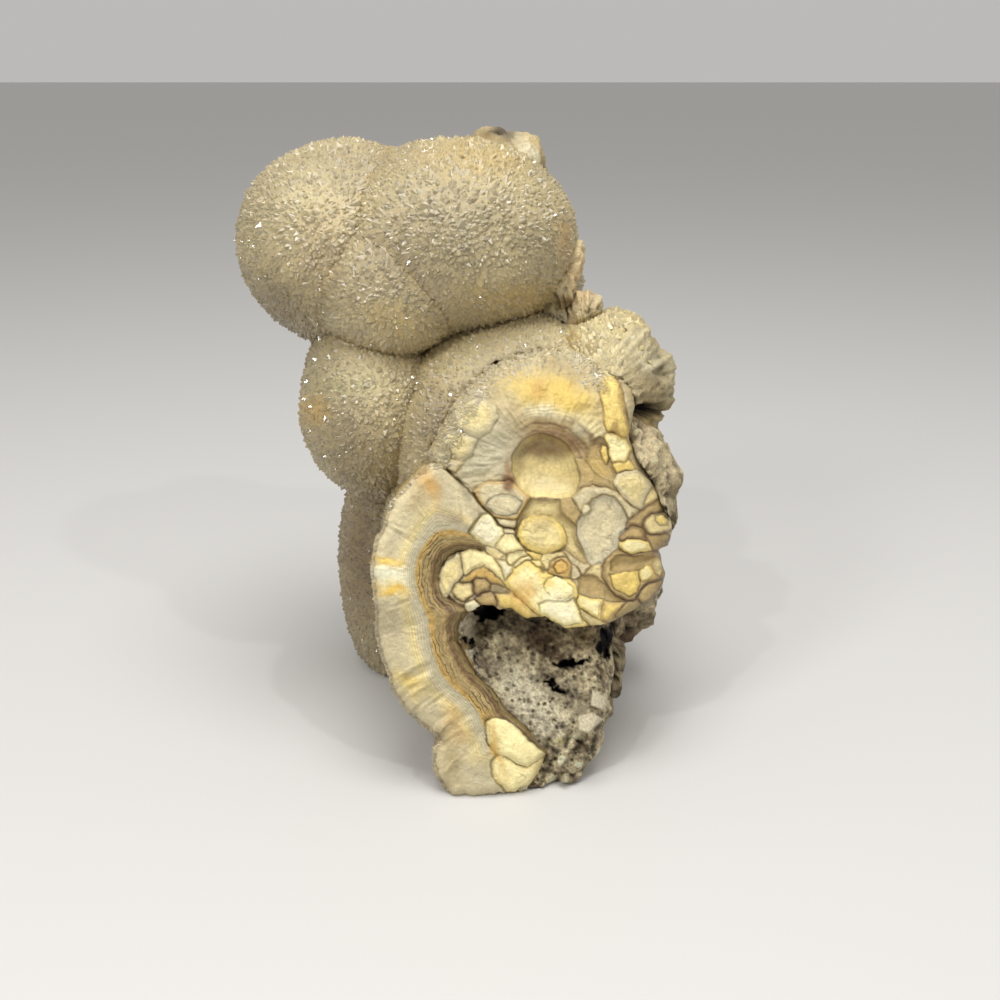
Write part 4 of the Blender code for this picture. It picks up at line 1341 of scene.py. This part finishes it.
def add_node(tree, kind, **values):
    """A new node, with values for its settings and, where a setting has none, its input sockets."""
    node = tree.nodes.new(kind)
    for key, value in values.items():
        if hasattr(node, key):
            setattr(node, key, value)
        else:
            node.inputs[key.replace("_", " ")].default_value = value
    return node


def grain(tree, scale, detail, low, high):
    """Fine noise in the part's own place, from one level of grey to another."""
    where = add_node(tree, "ShaderNodeTexCoord")
    made = add_node(tree, "ShaderNodeTexNoise", Scale=scale, Detail=detail, Roughness=0.65)
    tree.links.new(where.outputs["Object"], made.inputs["Vector"])
    spread = add_node(tree, "ShaderNodeMapRange", From_Min=0.3, From_Max=0.7, To_Min=low, To_Max=high)
    tree.links.new(made.outputs["Fac"], spread.inputs["Value"])
    return spread.outputs["Result"]


def fine_lines(tree, shade):
    """A shade, darkened along the lines of the agate."""
    phase = add_node(tree, "ShaderNodeAttribute", attribute_name="ring").outputs["Fac"]
    strength = add_node(tree, "ShaderNodeAttribute", attribute_name="ring_strength").outputs["Fac"]
    moved = calculate(tree, "ADD", phase, grain(tree, 500.0, 4.0, -0.9, 0.9))
    pulse = add_node(tree, "ShaderNodeMapRange", From_Min=0.4, From_Max=0.97, To_Min=0.0, To_Max=1.0)
    tree.links.new(calculate(tree, "SINE", moved), pulse.inputs["Value"])
    dark = calculate(tree, "MULTIPLY", pulse.outputs["Result"], strength)
    return calculate(tree, "MULTIPLY", shade, calculate(tree, "SUBTRACT", 1.0, dark))


def calculate(tree, operation, *values):
    made = add_node(tree, "ShaderNodeMath", operation=operation)
    for socket, value in zip(made.inputs, values):
        if isinstance(value, float):
            socket.default_value = value
        else:
            tree.links.new(value, socket)
    return made.outputs["Value"]


def tinted(tree, shader, shade):
    """The piece's own colours times a shade."""
    tint = add_node(tree, "ShaderNodeAttribute", attribute_name="tint")
    product = add_node(tree, "ShaderNodeVectorMath", operation="SCALE")
    tree.links.new(tint.outputs["Color"], product.inputs[0])
    tree.links.new(shade, product.inputs["Scale"])
    tree.links.new(product.outputs[0], shader.inputs["Base Color"])


def bump(tree, shader, height, distance):
    made = add_node(tree, "ShaderNodeBump", Distance=distance)
    tree.links.new(height, made.inputs["Height"])
    tree.links.new(made.outputs["Normal"], shader.inputs["Normal"])


def crystal_material():
    """Glassy facets over a translucent inside, which shades like the whole lobe that carries them."""
    material, tree, shader = new_material("druzy_crystal")
    tinted(tree, shader, grain(tree, 260.0, 5.0, 0.86, 1.1))
    growth = add_node(tree, "ShaderNodeAttribute", attribute_name="growth").outputs["Vector"]
    world = add_node(tree, "ShaderNodeVectorTransform", vector_type="NORMAL")
    tree.links.new(growth, world.inputs["Vector"])
    facet = add_node(tree, "ShaderNodeNewGeometry").outputs["Normal"]
    blend = add_node(tree, "ShaderNodeMix", data_type="VECTOR")
    blend.inputs["Factor"].default_value = CRYSTAL_SOFTNESS
    tree.links.new(facet, blend.inputs[4])
    tree.links.new(world.outputs["Vector"], blend.inputs[5])
    normal = add_node(tree, "ShaderNodeVectorMath", operation="NORMALIZE")
    tree.links.new(blend.outputs[1], normal.inputs[0])
    tree.links.new(normal.outputs["Vector"], shader.inputs["Normal"])
    shader.inputs["Roughness"].default_value = 0.32
    shader.inputs["IOR"].default_value = 1.544
    shader.inputs["Transmission Weight"].default_value = 0.15
    shader.inputs["Subsurface Weight"].default_value = 0.5
    shader.inputs["Subsurface Radius"].default_value = (1.0, 1.0, 1.0)
    shader.inputs["Subsurface Scale"].default_value = 0.0012
    gloss = add_node(tree, "ShaderNodeAttribute", attribute_name="gloss").outputs["Fac"]
    tree.links.new(gloss, shader.inputs["Coat Weight"])
    shader.inputs["Coat Roughness"].default_value = 0.06
    shader.inputs["Coat IOR"].default_value = 1.544
    return material


def stone_material(name, scale, levels, roughness, distance, lined=False):
    """Stone with its own colours, fine grain and a rough skin."""
    material, tree, shader = new_material(name)
    shade = grain(tree, scale, 6.0, *levels)
    tinted(tree, shader, fine_lines(tree, shade) if lined else shade)
    shader.inputs["Roughness"].default_value = roughness
    bump(tree, shader, grain(tree, scale * 1.3, 6.0, 0.0, 1.0), distance)
    return material


# Stage


def area_light(name, place, target, size, power, colour=(1, 1, 1)):
    data = bpy.data.lights.new(name, "AREA")
    data.shape = "DISK"
    data.size = size
    data.energy = power
    data.color = colour
    lamp = bpy.data.objects.new(name, data)
    lamp.location = place
    lamp.rotation_euler = (Vector(target) - Vector(place)).to_track_quat("-Z", "Y").to_euler()
    bpy.context.scene.collection.objects.link(lamp)


def stage():
    bm = bmesh.new()
    bmesh.ops.create_grid(bm, x_segments=1, y_segments=1, size=6)
    data = bpy.data.meshes.new("floor")
    bm.to_mesh(data)
    bm.free()
    floor = bpy.data.objects.new("floor", data)
    bpy.context.scene.collection.objects.link(floor)
    material, _, shader = new_material("pale_floor")
    shader.inputs["Base Color"].default_value = (0.6, 0.59, 0.57, 1)
    shader.inputs["Roughness"].default_value = 0.6
    data.materials.append(material)

    world = bpy.data.worlds.new("studio")
    world.use_nodes = True
    background = world.node_tree.nodes["Background"]
    background.inputs["Color"].default_value = (1.0, 0.985, 0.96, 1)
    background.inputs["Strength"].default_value = 0.5
    bpy.context.scene.world = world

    middle = (0, 0, 0.1)
    area_light("overhead", (0.05, -0.25, 1.1), middle, 0.7, 8.3)
    area_light("front_left", (-0.7, -0.95, 0.9), middle, 0.3, 5.3)
    area_light("sparkle_left", (-0.4, -0.8, 1.0), middle, 0.04, 2.0)
    area_light("sparkle_right", (0.45, -0.7, 0.9), middle, 0.04, 1.7)

    view = bpy.context.scene.view_settings
    view.view_transform = "Standard"
    view.exposure = 0.0


def camera():
    data = bpy.data.cameras.new("camera")
    data.lens = LENS_MM
    data.sensor_width = SENSOR_MM
    data.clip_start = 0.01
    eye = bpy.data.objects.new("camera", data)
    eye.location = (CAMERA - ORIGIN) * MM
    eye.rotation_euler = (math.pi / 2 - CAMERA_PITCH, 0, 0)
    bpy.context.scene.collection.objects.link(eye)
    bpy.context.scene.camera = eye


def place(obj, material, node, slot):
    """Gives a piece its material, puts it in the root body and hides the node whose place it takes."""
    obj.data.materials.append(material)
    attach(obj, "root")
    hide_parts(node)


def main():
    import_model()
    camera()
    stage()
    crystal = crystal_material()
    for name, lobes in CRYSTAL_PIECES.items():
        rng = np.random.default_rng(SEED + len(name))
        seats = [crystal_seats(lobe, rng) for lobe in lobes]
        place(crystals(name, seats, rng), crystal, "quartz_lobes", "quartz")
    rng = np.random.default_rng(SEED)
    place(crystals("crystals_rim", [rim_seats(rng), upper_seats(rng), shoulder_seats(rng)], rng), crystal, "quartz_lobes", "quartz")
    ground = stone_material("quartz_under_crystals", 500.0, (0.8, 1.0), 0.4, 0.0002)
    place(lobe_ground("lobe_ground"), ground, "quartz_lobes", "quartz")
    skin = stone_material("weathered_rind", 900.0, (0.72, 1.12), 0.7, 0.0005)
    place(rind("weathered_rind"), skin, "quartz_lobes", "quartz")
    agate = stone_material("banded_agate", 1000.0, (0.84, 1.04), 0.42, 0.0002, lined=True)
    place(broken_face("agate_face"), agate, "quartz_lobes", "quartz")
    porous = stone_material("porous_host_rock", 1300.0, (0.6, 1.15), 0.92, 0.0007)
    place(rock("porous_rock"), porous, "host_rock", "host_rock")
    place(hollow_rock("hollow_rock"), porous, "host_rock", "host_rock")
    for obj in bpy.data.objects:
        if obj.type == "MESH" and "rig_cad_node" not in obj:
            print("PIECE", obj.name, sum(len(f.vertices) - 2 for f in obj.data.polygons))


main()
